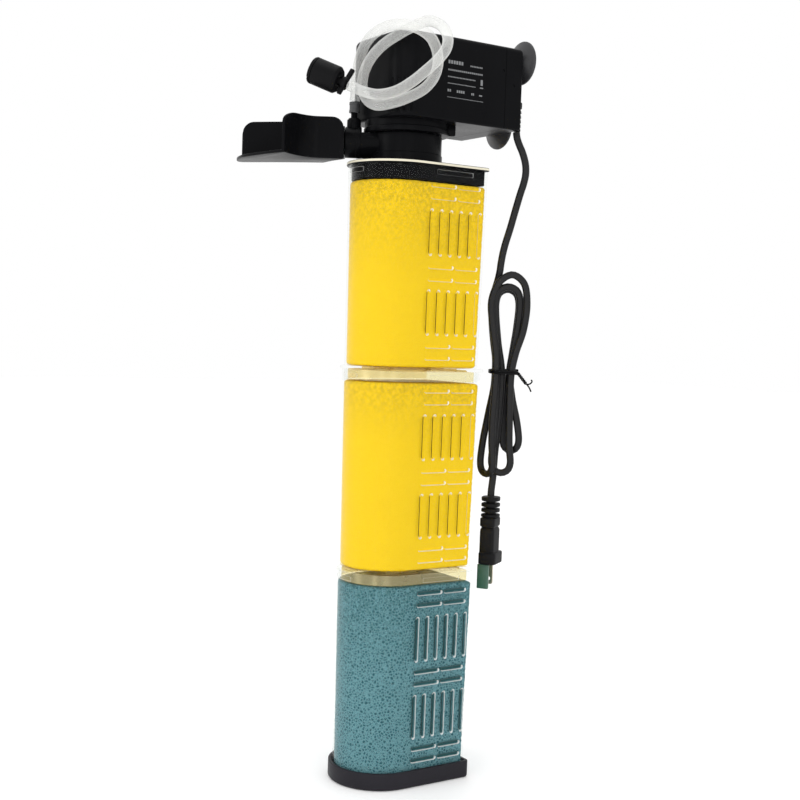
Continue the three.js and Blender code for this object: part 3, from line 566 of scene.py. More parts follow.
def silicone(name):
    """Milky soft hose: see-through where its wall is met square on, white towards its edges."""
    n = Nodes(name)
    cloud = n.noise(45, 3)
    n.colour(n.mix(n.ramp(cloud, (0.35, 0), (0.7, 1)), (0.78, 0.79, 0.78), (0.93, 0.93, 0.91)))
    n.rough(n.scaled(cloud, 0.12, 0.16))
    n.normal(n.bump(n.noise(500, 2), 0.02))
    n.set(Specular_IOR_Level=0.5)
    n.see_through((0.97, 0.97, 0.96), 1.6, 0.5, 0.24)
    return n.material


def laminated(name):
    """Stacked steel sheets, seen on edge as fine level lines."""
    n = Nodes(name)
    lines = n.wave(320, 0.4, "Z")
    n.colour(n.mix(lines, (0.12, 0.12, 0.125), (0.42, 0.43, 0.44)))
    n.rough(n.scaled(lines, 0.2, 0.3))
    n.normal(n.bump(lines, 0.08))
    n.set(Metallic=1.0)
    return n.material


def winding(name):
    """Close turns of enamelled wire, the grooves between them painted darker as shade."""
    n = Nodes(name)
    turns = n.wave(520, 0.8, "Y")
    # Painted shade: darker bands in the grooves between turns.
    n.colour(n.mix(turns, (0.2, 0.06, 0.02), (0.68, 0.3, 0.12)))
    n.rough(n.scaled(n.noise(200, 3), 0.2, 0.22))
    n.normal(n.bump(turns, 0.12))
    n.set(Metallic=1.0)
    return n.material


BLACK = moulded("black_plastic", (0.0035, 0.0036, 0.0042), 0.3, specular=0.045)
BLACK_SATIN = moulded("black_satin", (0.0042, 0.0042, 0.0047), 0.45, grain=0.02, specular=0.08)
CHARCOAL = moulded("charcoal_plastic", (0.014, 0.013, 0.017), 0.46, grain=0.02, specular=0.14)
GREY = moulded("grey_plastic", (0.045, 0.046, 0.048), 0.45)
WHITE = moulded("white_plastic", (0.78, 0.77, 0.72), 0.4, lift=1.05)
GREEN = moulded("green_plastic", (0.035, 0.10, 0.065), 0.38, specular=0.45)
RUBBER = rubber("black_rubber", (0.0065, 0.0065, 0.007), 0.52, 0.12)
CUP_RUBBER = rubber("suction_rubber", (0.02, 0.02, 0.022), 0.42, 0.5)
CORD_RUBBER = rubber("cord_rubber", (0.006, 0.006, 0.0065), 0.4, 0.25)
CLEAR = clear_styrene("clear_plastic", 0.003, 0.34)
# Painted reflection: the clear plastic where two cups join is tinted with the yellow of the foam seen in it.
JOINT_PAINTED_REFLECTION = clear_styrene("joint_painted_reflection", 0.3, 0.3, tint=(1.0, 0.9, 0.56), roughness=0.25,
                            skin=(0.92, 0.76, 0.42))
# Slot faces: painted shadow on the shaded ones, painted highlight on the lit ones.
SLOT_DARK = moulded("slot_shadow", (0.085, 0.055, 0.008), 0.5)
SLOT_TEAL = moulded("slot_shadow_teal", (0.02, 0.05, 0.052), 0.5)
SLOT_PALE = clear_styrene("slot_painted_highlight", 0.62, 0.3, roughness=0.3)
BEAD = moulded("lid_bead", (0.70, 0.66, 0.52), 0.3, lift=1.08)
TEAL = cell_foam("teal_foam", 2.0, (0.026, 0.105, 0.132), (0.006, 0.04, 0.052), (0.17, 0.36, 0.40),
                 (0.02, 0.08, 0.085), (0.035, 0.115, 0.125), painted_glint=0.9)
YELLOW = cell_foam("yellow_foam", 1.2, (0.85, 0.55, 0.002), (0.76, 0.46, 0.0015), (0.9, 0.61, 0.006),
                   (0.10, 0.06, 0.006), (0.52, 0.33, 0.012))
GREY_FOAM = cell_foam("grey_foam", 0.8, (0.16, 0.16, 0.165), (0.06, 0.06, 0.062), (0.3, 0.3, 0.3),
                      (0.05, 0.05, 0.05), (0.1, 0.1, 0.1))
HOSE = silicone("clear_silicone")
BRASS = metal("blade_brass", (0.62, 0.56, 0.44), 0.2)
FERRITE = metal("ferrite", (0.09, 0.09, 0.1), 0.45)
STEEL = laminated("core_steel")
COPPER = winding("copper_winding")
CERAMIC = moulded("shaft_ceramic", (0.8, 0.78, 0.73), 0.22, lift=1.03)
RESIN = moulded("potting_resin", (0.014, 0.016, 0.02), 0.3)
INK = moulded("grey_ink", (0.17, 0.175, 0.18), 0.55, grain=0.004)
FINISHES = {
    "black_plastic": BLACK, "charcoal_plastic": CHARCOAL, "clear_plastic": CLEAR,
    "teal_foam": TEAL, "yellow_foam": YELLOW, "black_rubber": RUBBER, "clear_silicone": HOSE,
    "grey_plastic": GREY, "white_plastic": WHITE, "green_plastic": GREEN, "core_steel": STEEL,
    "copper_winding": COPPER, "blade_brass": BRASS, "ferrite": FERRITE,
    "shaft_ceramic": CERAMIC, "potting_resin": RESIN, "grey_foam": GREY_FOAM,
}
BODIES = frame["record"]["behaviour"]["bodies"]
BODY_OF = {node: body for body, nodes in BODIES.items() for node in nodes}
SLOT_OF = {part["node"]: part["material_slot"] for part in frame["record"]["subparts"]}

for node_name, node in NODES.items():
    node.data.materials.clear()
    node.data.materials.append(FINISHES[SLOT_OF[node_name]])


# ---------------------------------------------------------------- mesh helpers

def to_object(name, mesh, materials, angle=32):
    """Links a mesh in millimetres as an object in metres, smooth except at sharp edges."""
    mesh.transform(Matrix.Scale(MM, 4))
    for material in materials if isinstance(materials, (list, tuple)) else [materials]:
        mesh.materials.append(material)
    mesh.shade_smooth()
    mesh.set_sharp_from_angle(angle=math.radians(angle))
    thing = bpy.data.objects.new(name, mesh)
    bpy.context.scene.collection.objects.link(thing)
    return thing


def finished(thing, node, *others):
    """Lets a piece stand for its CAD nodes, ride on their body and take their slot."""
    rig.ride(thing, BODY_OF[node])
    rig.replaces(thing, node, *others)
    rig.slot(thing, SLOT_OF[node])
    return thing


def mesh_of(vertices, faces):
    """A clean mesh with merged points and outward faces."""
    mesh = bpy.data.meshes.new("piece")
    mesh.from_pydata([tuple(v) for v in vertices], [], faces)
    work = bmesh.new()
    work.from_mesh(mesh)
    bmesh.ops.remove_doubles(work, verts=work.verts, dist=1e-4)
    bmesh.ops.dissolve_degenerate(work, edges=work.edges, dist=1e-5)
    bmesh.ops.recalc_face_normals(work, faces=work.faces)
    if work.calc_volume(signed=True) < 0:
        bmesh.ops.reverse_faces(work, faces=work.faces)
    work.to_mesh(mesh)
    work.free()
    return mesh


def loft(rings, closed=False):
    """A skin over equal rings of points: capped at both ends, or joined end to start."""
    count = len(rings[0])
    vertices = [point for ring in rings for point in ring]
    faces = []
    last = len(rings) if closed else len(rings) - 1
    for i in range(last):
        a, b = i * count, ((i + 1) % len(rings)) * count
        for j in range(count):
            k = (j + 1) % count
            faces.append((a + j, a + k, b + k, b + j))
    if not closed:
        faces.append(tuple(range(count))[::-1])
        faces.append(tuple(range((len(rings) - 1) * count, len(rings) * count)))
    return mesh_of(vertices, faces)


def rounded(points, radius, steps=3, closed=False):
    """A profile with its corners rounded. radius is one number, or one for each point."""
    radii = radius if isinstance(radius, (list, tuple)) else [radius] * len(points)
    out = []
    for i, (corner, wanted) in enumerate(zip(points, radii)):
        corner = np.array(corner, float)
        if wanted == 0 or (not closed and i in (0, len(points) - 1)):
            out.append(tuple(corner))
            continue
        before = np.array(points[i - 1], float) - corner
        after = np.array(points[(i + 1) % len(points)], float) - corner
        long_before, long_after = np.linalg.norm(before), np.linalg.norm(after)
        before, after = before / long_before, after / long_after
        half = math.acos(np.clip(before @ after, -1, 1)) / 2
        if half > 1.5:
            out.append(tuple(corner))
            continue
        cut = min(wanted / math.tan(half), 0.49 * long_before, 0.49 * long_after)
        real = cut * math.tan(half)
        middle = before + after
        centre = corner + middle / np.linalg.norm(middle) * (real / math.sin(half))
        start, end = corner + before * cut - centre, corner + after * cut - centre
        sweep = math.pi - 2 * half
        for k in range(steps + 1):
            t = k / steps
            spot = (math.sin((1 - t) * sweep) * start + math.sin(t * sweep) * end) / math.sin(sweep)
            out.append(tuple(centre + spot))
    return out


def turned(profile, sides=64, closed=False, matrix=None, wobble=None):
    """A profile of (radius, height) turned round Z, then placed by a matrix."""
    rings = []
    for radius, height in profile:
        ring = []
        for i in range(sides):
            a = 2 * math.pi * i / sides
            r = radius if wobble is None else wobble(radius, height, a)
            ring.append((r * math.cos(a), r * math.sin(a), height))
        rings.append(ring)
    mesh = loft(rings, closed)
    if matrix is not None:
        mesh.transform(matrix)
    return mesh


def moved(x, y):
    return Matrix.Translation((x, y, 0))


def along(axis, origin=(0, 0, 0)):
    """A matrix that turns Z onto an axis and moves to an origin."""
    turn = Vector((0, 0, 1)).rotation_difference(Vector(axis)).to_matrix().to_4x4()
    return Matrix.Translation(origin) @ turn


def basis(x, y, z, origin):
    """A matrix with the given axes and origin."""
    matrix = Matrix((x, y, z)).transposed().to_4x4()
    matrix.translation = Vector(origin)
    return matrix


def even(points, step=None, count=None):
    """A closed plan resampled at even distances."""
    loop = np.array(points + points[:1], float)
    gaps = np.r_[0, np.cumsum(np.linalg.norm(np.diff(loop, axis=0), axis=1))]
    count = count or max(8, round(gaps[-1] / step))
    where = np.linspace(0, gaps[-1], count, endpoint=False)
    return list(zip(*(np.interp(where, gaps, loop[:, k]) for k in (0, 1))))


def arc(x, y, radius, start, end, steps):
    """Points on an arc from one angle to another, in half turns."""
    angles = [math.pi * (start + (end - start) * i / steps) for i in range(steps + 1)]
    return [(x + radius * math.cos(a), y + radius * math.sin(a)) for a in angles]


def case_plan(half, back, corner):
    """Plan of the case: a half-round nose, straight sides and a flat back."""
    corner = max(corner, LEAST_CORNER)
    return (arc(0, NOSE_Y, half, 1, 2, 60)
            + arc(half - corner, back - corner, corner, 0, 0.5, 8)
            + arc(corner - half, back - corner, corner, 0.5, 1, 8))


def growth(k, z):
    """How much wider cup k is at a height than at its foot."""
    return 1 + DRAFT / CUP_HALF * (z - JOINT_Z - k * CUP_PITCH) / CUP_PITCH


def drafted(plan, k, z):
    """A plan at cup k's foot, grown as the cup is at a height."""
    grown = growth(k, z)
    return [(x * grown, NOSE_Y + (y - NOSE_Y) * grown, z) for x, y in plan]


def cup_ring(k, inset, z):
    """Cup k's plan at a height, set in from its wall."""
    return drafted(case_plan(CUP_HALF - inset, CUP_BACK - inset, CUP_CORNER - inset), k, z)


def lid_plan(inset):
    return case_plan(LID_HALF - inset, LID_BACK - inset, FLANGE_CORNER - inset)


def flange_plan(inset):
    return case_plan(FLANGE_HALF - inset, FLANGE_BACK - inset, FLANGE_CORNER - inset)


def base_plan(inset):
    return case_plan(BASE_HALF - inset, BASE_BACK - inset, FLANGE_CORNER - inset)


def head_plan(inset):
    """Plan of the motor head: wide rounds in front, tight ones behind."""
    half = HEAD_HALF - inset
    nose, tail = HEAD_FRONT_ROUND - inset, max(HEAD_REAR_ROUND - inset, LEAST_CORNER)
    front, rear = HEAD_FRONT + HEAD_FRONT_ROUND, HEAD_REAR - inset - tail
    return (arc(nose - half, front, nose, 1, 1.5, 10) + arc(half - nose, front, nose, 1.5, 2, 10)
            + arc(half - tail, rear, tail, 0, 0.5, 10) + arc(tail - half, rear, tail, 0.5, 1, 10))


def at_height(plan, z):
    return [(x, y, z) for x, y in plan]


def stack(plan_of, profile):
    """A skin over plans at (inset, height) steps."""
    return loft([at_height(plan_of(inset), z) for inset, z in profile])


def extruded(outline, low, high, edge=0.0, steps=2):
    """An outline raised along Z, its edges rounded by pulling each point inward."""
    points = np.array(outline, float)
    before, after = np.roll(points, 1, 0) - points, np.roll(points, -1, 0) - points
    before /= np.linalg.norm(before, axis=1)[:, None]
    after /= np.linalg.norm(after, axis=1)[:, None]
    area = np.cross(points, np.roll(points, -1, 0)).sum()
    tangent = after - before
    tangent /= np.linalg.norm(tangent, axis=1)[:, None]
    inward = np.c_[-tangent[:, 1], tangent[:, 0]] * (1 if area > 0 else -1)
    turns = [math.pi / 2 * i / steps for i in range(steps + 1)] if edge else [0]
    pulls = [(edge * (1 - math.sin(a)), edge * (1 - math.cos(a))) for a in turns]
    rings = [(pull, low + rise) for pull, rise in pulls]
    rings += [(pull, high - rise) for pull, rise in reversed(pulls)]
    return loft([at_height([tuple(p) for p in points + inward * pull], z) for pull, z in rings])


def block(x, y, z, edge=0.0, steps=2):
    """A box between the ends given on each axis, its edges rounded."""
    outline = [(x[0], y[0]), (x[1], y[0]), (x[1], y[1]), (x[0], y[1])]
    if edge:
        outline = rounded(outline, edge, steps, closed=True)
    return extruded(outline, z[0], z[1], min(edge, 0.45 * (z[1] - z[0])), steps)


def combined(meshes, index=None):
    """Several meshes as one, with nothing cut."""
    work = bmesh.new()
    for mesh in meshes:
        work.from_mesh(mesh)
    mesh = bpy.data.meshes.new("piece")
    work.to_mesh(mesh)
    work.free()
    if index is not None:
        for polygon in mesh.polygons:
            polygon.material_index = index
    return mesh


def boolean(mesh, other, operation):
    """Joins or cuts two meshes exactly. Faces cut by `other` keep its material index."""
    pair = []
    for part in (mesh, other):
        while len(part.materials) < 2:
            part.materials.append(CLEAR)
        thing = bpy.data.objects.new("part", part)
        bpy.context.scene.collection.objects.link(thing)
        pair.append(thing)
    step = pair[0].modifiers.new("cut", "BOOLEAN")
    step.operation = operation
    step.solver = "EXACT"
    step.material_mode = "INDEX"
    step.object = pair[1]
    bpy.context.view_layer.update()
    graph = bpy.context.evaluated_depsgraph_get()
    result = bpy.data.meshes.new_from_object(pair[0].evaluated_get(graph))
    for thing in pair:
        bpy.data.objects.remove(thing)
    kept = np.zeros(len(result.polygons), np.int32)
    result.polygons.foreach_get("material_index", kept)
    result.materials.clear()
    result.polygons.foreach_set("material_index", kept)
    return result


def union(*meshes):
    whole = meshes[0]
    for mesh in meshes[1:]:
        whole = boolean(whole, mesh, "UNION")
    return whole


def cut(mesh, *others):
    for other in others:
        mesh = boolean(mesh, other, "DIFFERENCE")
    return mesh


def with_ends(points):
    """The points as arrays, with one more beyond each end."""
    p = [np.array(v, float) for v in points]
    return [2 * p[0] - p[1], *p, 2 * p[-1] - p[-2]]


def smooth_path(points, step):
    """A centripetal Catmull-Rom curve through points, resampled at an even step."""
    p = with_ends(points)
    dense = []
    for i in range(len(p) - 3):
        a, b, c, d = p[i:i + 4]
        t1 = np.linalg.norm(b - a) ** 0.5
        t2 = t1 + np.linalg.norm(c - b) ** 0.5
        t3 = t2 + np.linalg.norm(d - c) ** 0.5
        for t in np.linspace(t1, t2, 24, endpoint=False):
            ab = (t1 - t) / t1 * a + t / t1 * b
            bc = (t2 - t) / (t2 - t1) * b + (t - t1) / (t2 - t1) * c
            cd = (t3 - t) / (t3 - t2) * c + (t - t2) / (t3 - t2) * d
            abc = (t2 - t) / t2 * ab + t / t2 * bc
            bcd = (t3 - t) / (t3 - t1) * bc + (t - t1) / (t3 - t1) * cd
            dense.append((t2 - t) / (t2 - t1) * abc + (t - t1) / (t2 - t1) * bcd)
    dense.append(p[-2])
    dense = np.array(dense)
    gaps = np.r_[0, np.cumsum(np.linalg.norm(np.diff(dense, axis=0), axis=1))]
    where = np.linspace(0, gaps[-1], max(4, round(gaps[-1] / step)) + 1)
    return np.stack([np.interp(where, gaps, dense[:, k]) for k in range(3)], axis=1)


def path_length(path):
    """Length of a path along its points."""
    return float(np.linalg.norm(np.diff(path, axis=0), axis=1).sum())


def swept(path, section, wide_axis=None):
    """A section of (wide, thin) points carried along a path of ring centres."""
    tangents = np.gradient(path, axis=0)
    tangents /= np.linalg.norm(tangents, axis=1)[:, None]
    rings = []
    wide = None
    for centre, tangent in zip(path, tangents):
        if wide_axis is not None:
            guide = np.array(wide_axis, float)
        else:
            guide = wide if wide is not None else np.array((0.3, 0.9, 0.1))
        wide = guide - (guide @ tangent) * tangent
        wide /= np.linalg.norm(wide)
        thin = np.cross(tangent, wide)
        rings.append([tuple(centre + a * wide + b * thin) for a, b in section])
    return loft(rings)


def circle(radius, sides):
    angles = (2 * math.pi * i / sides for i in range(sides))
    return [(radius * math.cos(a), radius * math.sin(a)) for a in angles]


# ---------------------------------------------------------------- cords, made first

def metres(points):
    return [tuple(float(c) * MM for c in p) for p in points]


def air_hose():
    """The looped hose from the nipple to the silencer."""
    path = smooth_path(HOSE_ROUTE, 1.6)
    mesh = swept(path, circle(HOSE_RADIUS, 20))
    hose = finished(to_object("air_hose_silicone", mesh, HOSE), "air_hose")
    return hose, path


def hank_point(across, out, z):
    """A point of the hank from its place across the bundle, out of its plane, and its height."""
    return tuple(HANK_CENTRE + HANK_ACROSS * across + HANK_OUT * out + Vector((0, 0, z)))


def fold(start, end, z, rise):
    """A half-round turn between two runs of the hank: up at its top, down at its foot."""
    points = []
    for i in range(5):
        share = (1 - math.cos(math.pi * i / 4)) / 2
        across, out = (a + (b - a) * share for a, b in zip(start, end))
        points.append((across, out, z + rise * math.sin(math.pi * i / 4)))
    return points


def hank_route():
    """Runs of the lead folded up and down, through the tie, from the drop to the tail."""
    turns = [
        (-6.2, -1.6, 346.5), (-8.6, -4.2, 336), (-9.2, -5.2, 322), (-7.4, -5.2, 304), (-5.6, -5.2, 292),
        (-5.4, -5.2, TIE_Z), (-5.8, -5.2, 272), (-9.5, -5.2, 250), (-12.6, -5, 230),
        *fold((-13.4, -5.2), (-5.6, 5.2), 216.5, -6.6),
        (-6.6, 5, 232), (-6.8, 5, 248), (-5.9, 5, 268), (-5.6, 5, TIE_Z), (-6.2, 5, 297), (-9.6, 5, 318),
        (-10.3, 5, 333), (-5, 5, 345.5), (3.5, 4.8, 350.4), (11.5, 4.8, 345), (14.3, 5, 331),
        (12.5, 5, 312), (7.8, 5, 296), (5.3, 5, TIE_Z), (4.9, 5, 270), (5.2, 5, 246), (5.7, 4.9, 230),
        *fold((6.8, 5.2), (-6, 1.4), 218, -6.6),
        (-5.4, 1.5, 231), (-4.4, 1.6, 247), (-4.1, 1.6, 268), (-4.2, 1.6, TIE_Z), (-5.4, 1.6, 302),
        (-6.9, 1.6, 322), *fold((-7.1, 1.6), (9.6, 1.6), 333.5, 8.6), (8.8, 1.6, 314), (6.2, 1.6, 296),
        (4.3, 1.6, TIE_Z), (6.8, 1.6, 264), (10.6, 1.8, 248),
        *fold((12.4, 1.9), (1.8, -5.3), 233.5, -6.6),
        (2.4, -5.2, 247), (3.6, -5.2, 263), (4.6, -5.2, TIE_Z), (6.4, -5.2, 297), (8.6, -5.2, 314),
        *fold((9.4, -5.2), (-6.6, -3), 332, 8.4), (-4.6, -2.3, 305), (-1, -1.8, TIE_Z),
        (-1.2, -2.2, 260), (-2.4, -2.6, 240), (-3.6, -2.5, 225),
    ]
    return [hank_point(*turn) for turn in turns]


def cord_section():
    """Flat twin lead: two round cores under one skin, with a shallow groove on each side."""
    points = []
    core = CORD_THICK / 2
    shift = CORD_WIDE / 2 - core
    for side in (1, -1):
        for i in range(9):
            a = math.radians(-90 + 22.5 * i)
            x, y = side * (shift + core * math.cos(a)), side * core * math.sin(a)
            points.append((y, -x))
        points.append((side * core * 0.86, 0))
    return points


def power_cord():
    """The mains lead from the head through the hank to the plug."""
    route = [*DROP_ROUTE, *hank_route(), *TAIL_ROUTE]
    path = smooth_path(route, 2.2)
    mesh = swept(path, cord_section(), wide_axis=HANK_OUT)
    cord = to_object("power_cord", mesh, CORD_RUBBER)
    finished(cord, "power_cord_drop", "cord_hank", "power_cord_tail")
    return cord, path


hose, hose_path = air_hose()
lead, lead_path = power_cord()


# ---------------------------------------------------------------- case: base, cups, foam, lid

def base_cap():
    """Shallow tray that the lowest cup stands in."""
    wall = BASE_HALF - CUP_HALF - GAP
    profile = [(0.6, 0), (0, 1), (0, BASE_HEIGHT), (wall, BASE_HEIGHT), (wall, BASE_FLOOR)]
    mesh = stack(base_plan, rounded(profile, [0, 0.6, 0.5, 0.4, 0], 3))
    finished(to_object("base_cap_moulding", mesh, CHARCOAL), "base_cap")


def stadium(length, width, steps=8):
    """A slot's outline along X, centred."""
    reach, r = length / 2 - width / 2, width / 2
    return (arc(reach, 0, r, -0.5, 0.5, steps) + arc(-reach, 0, r, 0.5, 1.5, steps))


def slot_cutter(k, side, y, z):
    """A stadium-ended cutter through a side wall of cup k, flared at its outer face."""
    long_y, long_z = y[1] - y[0], z[1] - z[0]
    length, width = max(long_y, long_z), min(long_y, long_z)
    rings = []
    end_flare, side_flare = UPRIGHT_FLARE if long_z > long_y else CROSS_FLARE
    for depth, grow in ((-WALL - 0.5, 0), (-SLOT_FLARE_DEEP, 0), (0.02, 1), (1, 1)):
        ring = []
        for a, b in stadium(length + 2 * grow * end_flare, width + 2 * grow * side_flare):
            u, v = (a, b) if long_y > long_z else (b, a)
            height = (z[0] + z[1]) / 2 + v
            ring.append((side * (CUP_HALF * growth(k, height) + depth), (y[0] + y[1]) / 2 + u, height))
        rings.append(ring)
    return loft(rings)


def slots_of(zero):
    """Rows of inlet slots, in both side walls, as (side, y ends, z ends)."""
    half = SLOT_WIDE / 2
    for side in (1, -1):
        for low, high in UPRIGHT_BLOCKS:
            for i in range(SLOTS_IN_ROW):
                y = SLOT_FIRST_Y + i * SLOT_PITCH
                yield side, (y - half, y + half), (zero + low, zero + high)
        for z in CROSS_SLOT_Z:
            for y in CROSS_SLOT_Y:
                yield side, y, (zero + z - half, zero + z + half)


def snap_windows(k):
    """Shallow recesses near the rim that the next cup's catches click into."""
    z = JOINT_Z + (k + 1) * CUP_PITCH - GAP - SNAP_WINDOW_DROP
    inner, outer = CUP_HALF * growth(k, z) - SNAP_WINDOW_DEEP, CUP_HALF + 3
    nose = NOSE_Y - math.sqrt(inner ** 2 - SNAP_WINDOW_NOSE ** 2)
    for x, y in (((inner, outer), SNAP_WINDOW_Y), ((-outer, -inner), SNAP_WINDOW_Y),
                 ((-SNAP_WINDOW_NOSE, SNAP_WINDOW_NOSE), (NOSE_Y - outer, nose))):
        yield block(x, y, (z - 1.8, z + 1.4), 0.5)


def cup(name, k, shaded):
    """A clear cup. Its slots' shaded faces take a painted shadow finish and their lit faces a painted highlight
    finish.
    """
    zero = k * CUP_PITCH
    rim = JOINT_Z + (k + 1) * CUP_PITCH - GAP
    foot = BASE_FLOOR + GAP if k == 0 else JOINT_Z + zero
    top = foot if k == 0 else foot + FLANGE_THICK
    wall = [(0, top), (0, rim), (SEEN_WALL, rim), (SEEN_WALL, top)]
    inner = WALL + GAP
    deep = inner + SPIGOT_WALL
    spread = FLANGE_HALF - CUP_HALF

    def ring_of(inset, z):
        if inset > 0 and k > 0 and z < foot + 0.01:
            return cup_ring(k - 1, inset, z)
        own = cup_ring(k, max(inset, 0), z)
        if inset >= 0:
            return own
        t = min(1.0, -inset / spread)
        wide = at_height(flange_plan(0), z)
        return [tuple(Vector(a).lerp(Vector(b), t)) for a, b in zip(own, wide)]

    if k == 0:
        outline, radii = wall, 0.3
    else:
        low = foot - SPIGOT_DEEP
        outline = [*wall, (deep + 3, top), (deep + 3, foot), (deep, foot), (deep, low), (inner, low),
                   (inner, foot), (-spread, foot), (-spread, top)]
        radii = [0.3, 0.35, 0.35, 0.3, 0, 0, 0.3, 0.35, 0.35, 0.3, 0.8, 0.8]
    mesh = loft([ring_of(*step) for step in rounded(outline, radii, 2, closed=True)], closed=True)
    if k > 0:
        mesh = union(mesh, grille(k, foot, deep + 2))
    cutters = [slot_cutter(k, *slot) for slot in slots_of(zero)] + list(snap_windows(k))
    mesh = boolean(mesh, combined(cutters, 1), "DIFFERENCE")
    for polygon in mesh.polygons:
        if polygon.material_index == 1:
            polygon.material_index = slot_face(k, polygon.center - Vector((0, 0, zero)), polygon.normal)
        # Where two cups join, the faces take the painted reflection of the foam.
        elif k > 0 and wall_depth(polygon.center) > inner - 0.1 and polygon.center.z < top + 0.2:
            polygon.material_index = 3
    finished(to_object(name + "_shell", mesh, [CLEAR, shaded, SLOT_PALE, JOINT_PAINTED_REFLECTION], 28), name)


def wall_depth(point):
    """How far a point lies inside the case's plan at a cup's foot."""
    if point.y < NOSE_Y:
        return CUP_HALF - math.hypot(point.x, point.y - NOSE_Y)
    return min(CUP_HALF - abs(point.x), CUP_BACK - point.y)


def slot_face(k, centre, normal):
    """The finish of a face inside a slot or recess of cup k, as an index into the cup's finishes: its own clear one,
    the painted shadow, the painted highlight.
    """
    own, shaded, lit = 0, 1, 2
    z = centre.z
    if z > CROSS_SLOT_Z[-1] + SLOT_WIDE:
        sunk_floor = abs(normal.x) > 0.9 if centre.y > NOSE_Y else normal.y < -0.9
        return own if sunk_floor else lit
    for low, high in UPRIGHT_BLOCKS:
        if low - 1.5 < z < high + 1.5:
            if not low + 0.9 < z < high - 0.9:
                return lit
            if normal.y > 0:
                last = centre.y > SLOT_FIRST_Y + (SLOTS_IN_ROW - 1.5) * SLOT_PITCH
                return lit if k > 0 and last else shaded
            return lit if k == 0 else own
    row = min(CROSS_SLOT_Z, key=lambda height: abs(height - z))
    far = any(abs(centre.y - end) < 0.9 and normal.y < -0.3 for _, end in CROSS_SLOT_Y)
    if z < row - 0.6 or far:
        return lit
    return shaded if k == 0 else own


def grille(k, foot, inset):
    """The floor between two cups: a plate with two rows of three windows."""
    plate = loft([cup_ring(k, inset, foot + 0.1), cup_ring(k, inset, foot + FLANGE_THICK - 0.1)])
    windows = [block((x - 5, x + 5), y, (foot - 1, foot + FLANGE_THICK + 1), 1.2)
               for x in (-16, 0, 16) for y in ((-20, 6), (10, 32))]
    return boolean(plate, combined(windows), "DIFFERENCE")


def shade_of(y, z, side, slots):
    """How deep in a slot's shadow a point of the foam lies, from 0 to 1."""
    best = 0.0
    for other, (y0, y1), (z0, z1) in slots:
        if other == side:
            reach = min(y - y0, y1 - y, z - z0, z1 - z)
            best = max(best, min(1.0, reach / 0.5 + 0.6))
    return best


def foam(name, node, k, material, pore, depth):
    """A foam block with a cellular skin, rounded edges, and slight bulges."""
    low, high = (v.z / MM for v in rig.box(node))
    inset = SEEN_WALL + 0.12
    edge = FOAM_EDGE
    turns = [(edge * (1 - math.sin(a)), edge * (1 - math.cos(a)))
             for a in (0, 0.4, 0.8, 1.2, math.pi / 2)]
    count = len(even(case_plan(CUP_HALF - inset, CUP_BACK - inset, 2), FOAM_STEP))
    straight = high - low - 2 * edge
    levels = round(straight / FOAM_STEP)
    rings = [(low, pull) for pull in FOAM_CAP] + [(low + lift, pull) for pull, lift in turns]
    rings += [(low + edge + straight * i / levels, 0) for i in range(1, levels)]
    rings += [(high - lift, pull) for pull, lift in reversed(turns)]
    rings += [(high, pull) for pull in reversed(FOAM_CAP)]
    plans = {}
    for _, pull in rings:
        total = inset + pull
        if pull not in plans:
            plan = case_plan(CUP_HALF - total, CUP_BACK - total, CUP_CORNER - total)
            plans[pull] = even(plan, count=count)
    mesh = loft([drafted(plans[pull], k, z) for z, pull in rings])
    slots = list(slots_of(k * CUP_PITCH)) if k == 0 else []
    co = np.array([v.co for v in mesh.vertices])
    normals = np.array([v.normal for v in mesh.vertices])
    shade = np.zeros(len(co), np.float32)
    top_shade = np.zeros(len(co), np.float32)
    for i, ((x, y, z), normal) in enumerate(zip(co, normals)):
        spot = Vector((x / pore, y / pore, z / pore + 7.3 * k))
        distances, _ = noise.voronoi(spot)
        pit = 1 - min(1.0, (distances[1] - distances[0]) / 0.55)
        swell = 0.5 + 0.5 * noise.noise(Vector((x / 22, y / 22, z / 22 + 3.1 * k)))
        co[i] -= normal * (depth * (1 - pit) + 0.12 * swell)
        # Painted shade: full at the block's top, fading out lower down.
        top_shade[i] = min(1.0, max(0.0, (z - high + TOP_SHADE_REACH[k]) / TOP_SHADE_REACH[k]))
        if abs(x) > CUP_HALF - inset - 1.6:
            shade[i] = shade_of(y, z, 1 if x > 0 else -1, slots)
    mesh.vertices.foreach_set("co", co.ravel())
    for key, values in (("shade", shade), ("top_shade", top_shade)):
        mesh.attributes.new(key, "FLOAT", "POINT").data.foreach_set("value", values)
    block_of_foam = finished(to_object(name, mesh, material, 180), node)
    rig.padded(block_of_foam, fill=0.9)


def polar_circle(plan, radius):
    """A circle about the neck's axis whose points face those of a plan."""
    ring = []
    for x, y in plan:
        a = math.atan2(y - AXIS_Y, x)
        ring.append((radius * math.cos(a), AXIS_Y + radius * math.sin(a)))
    return ring


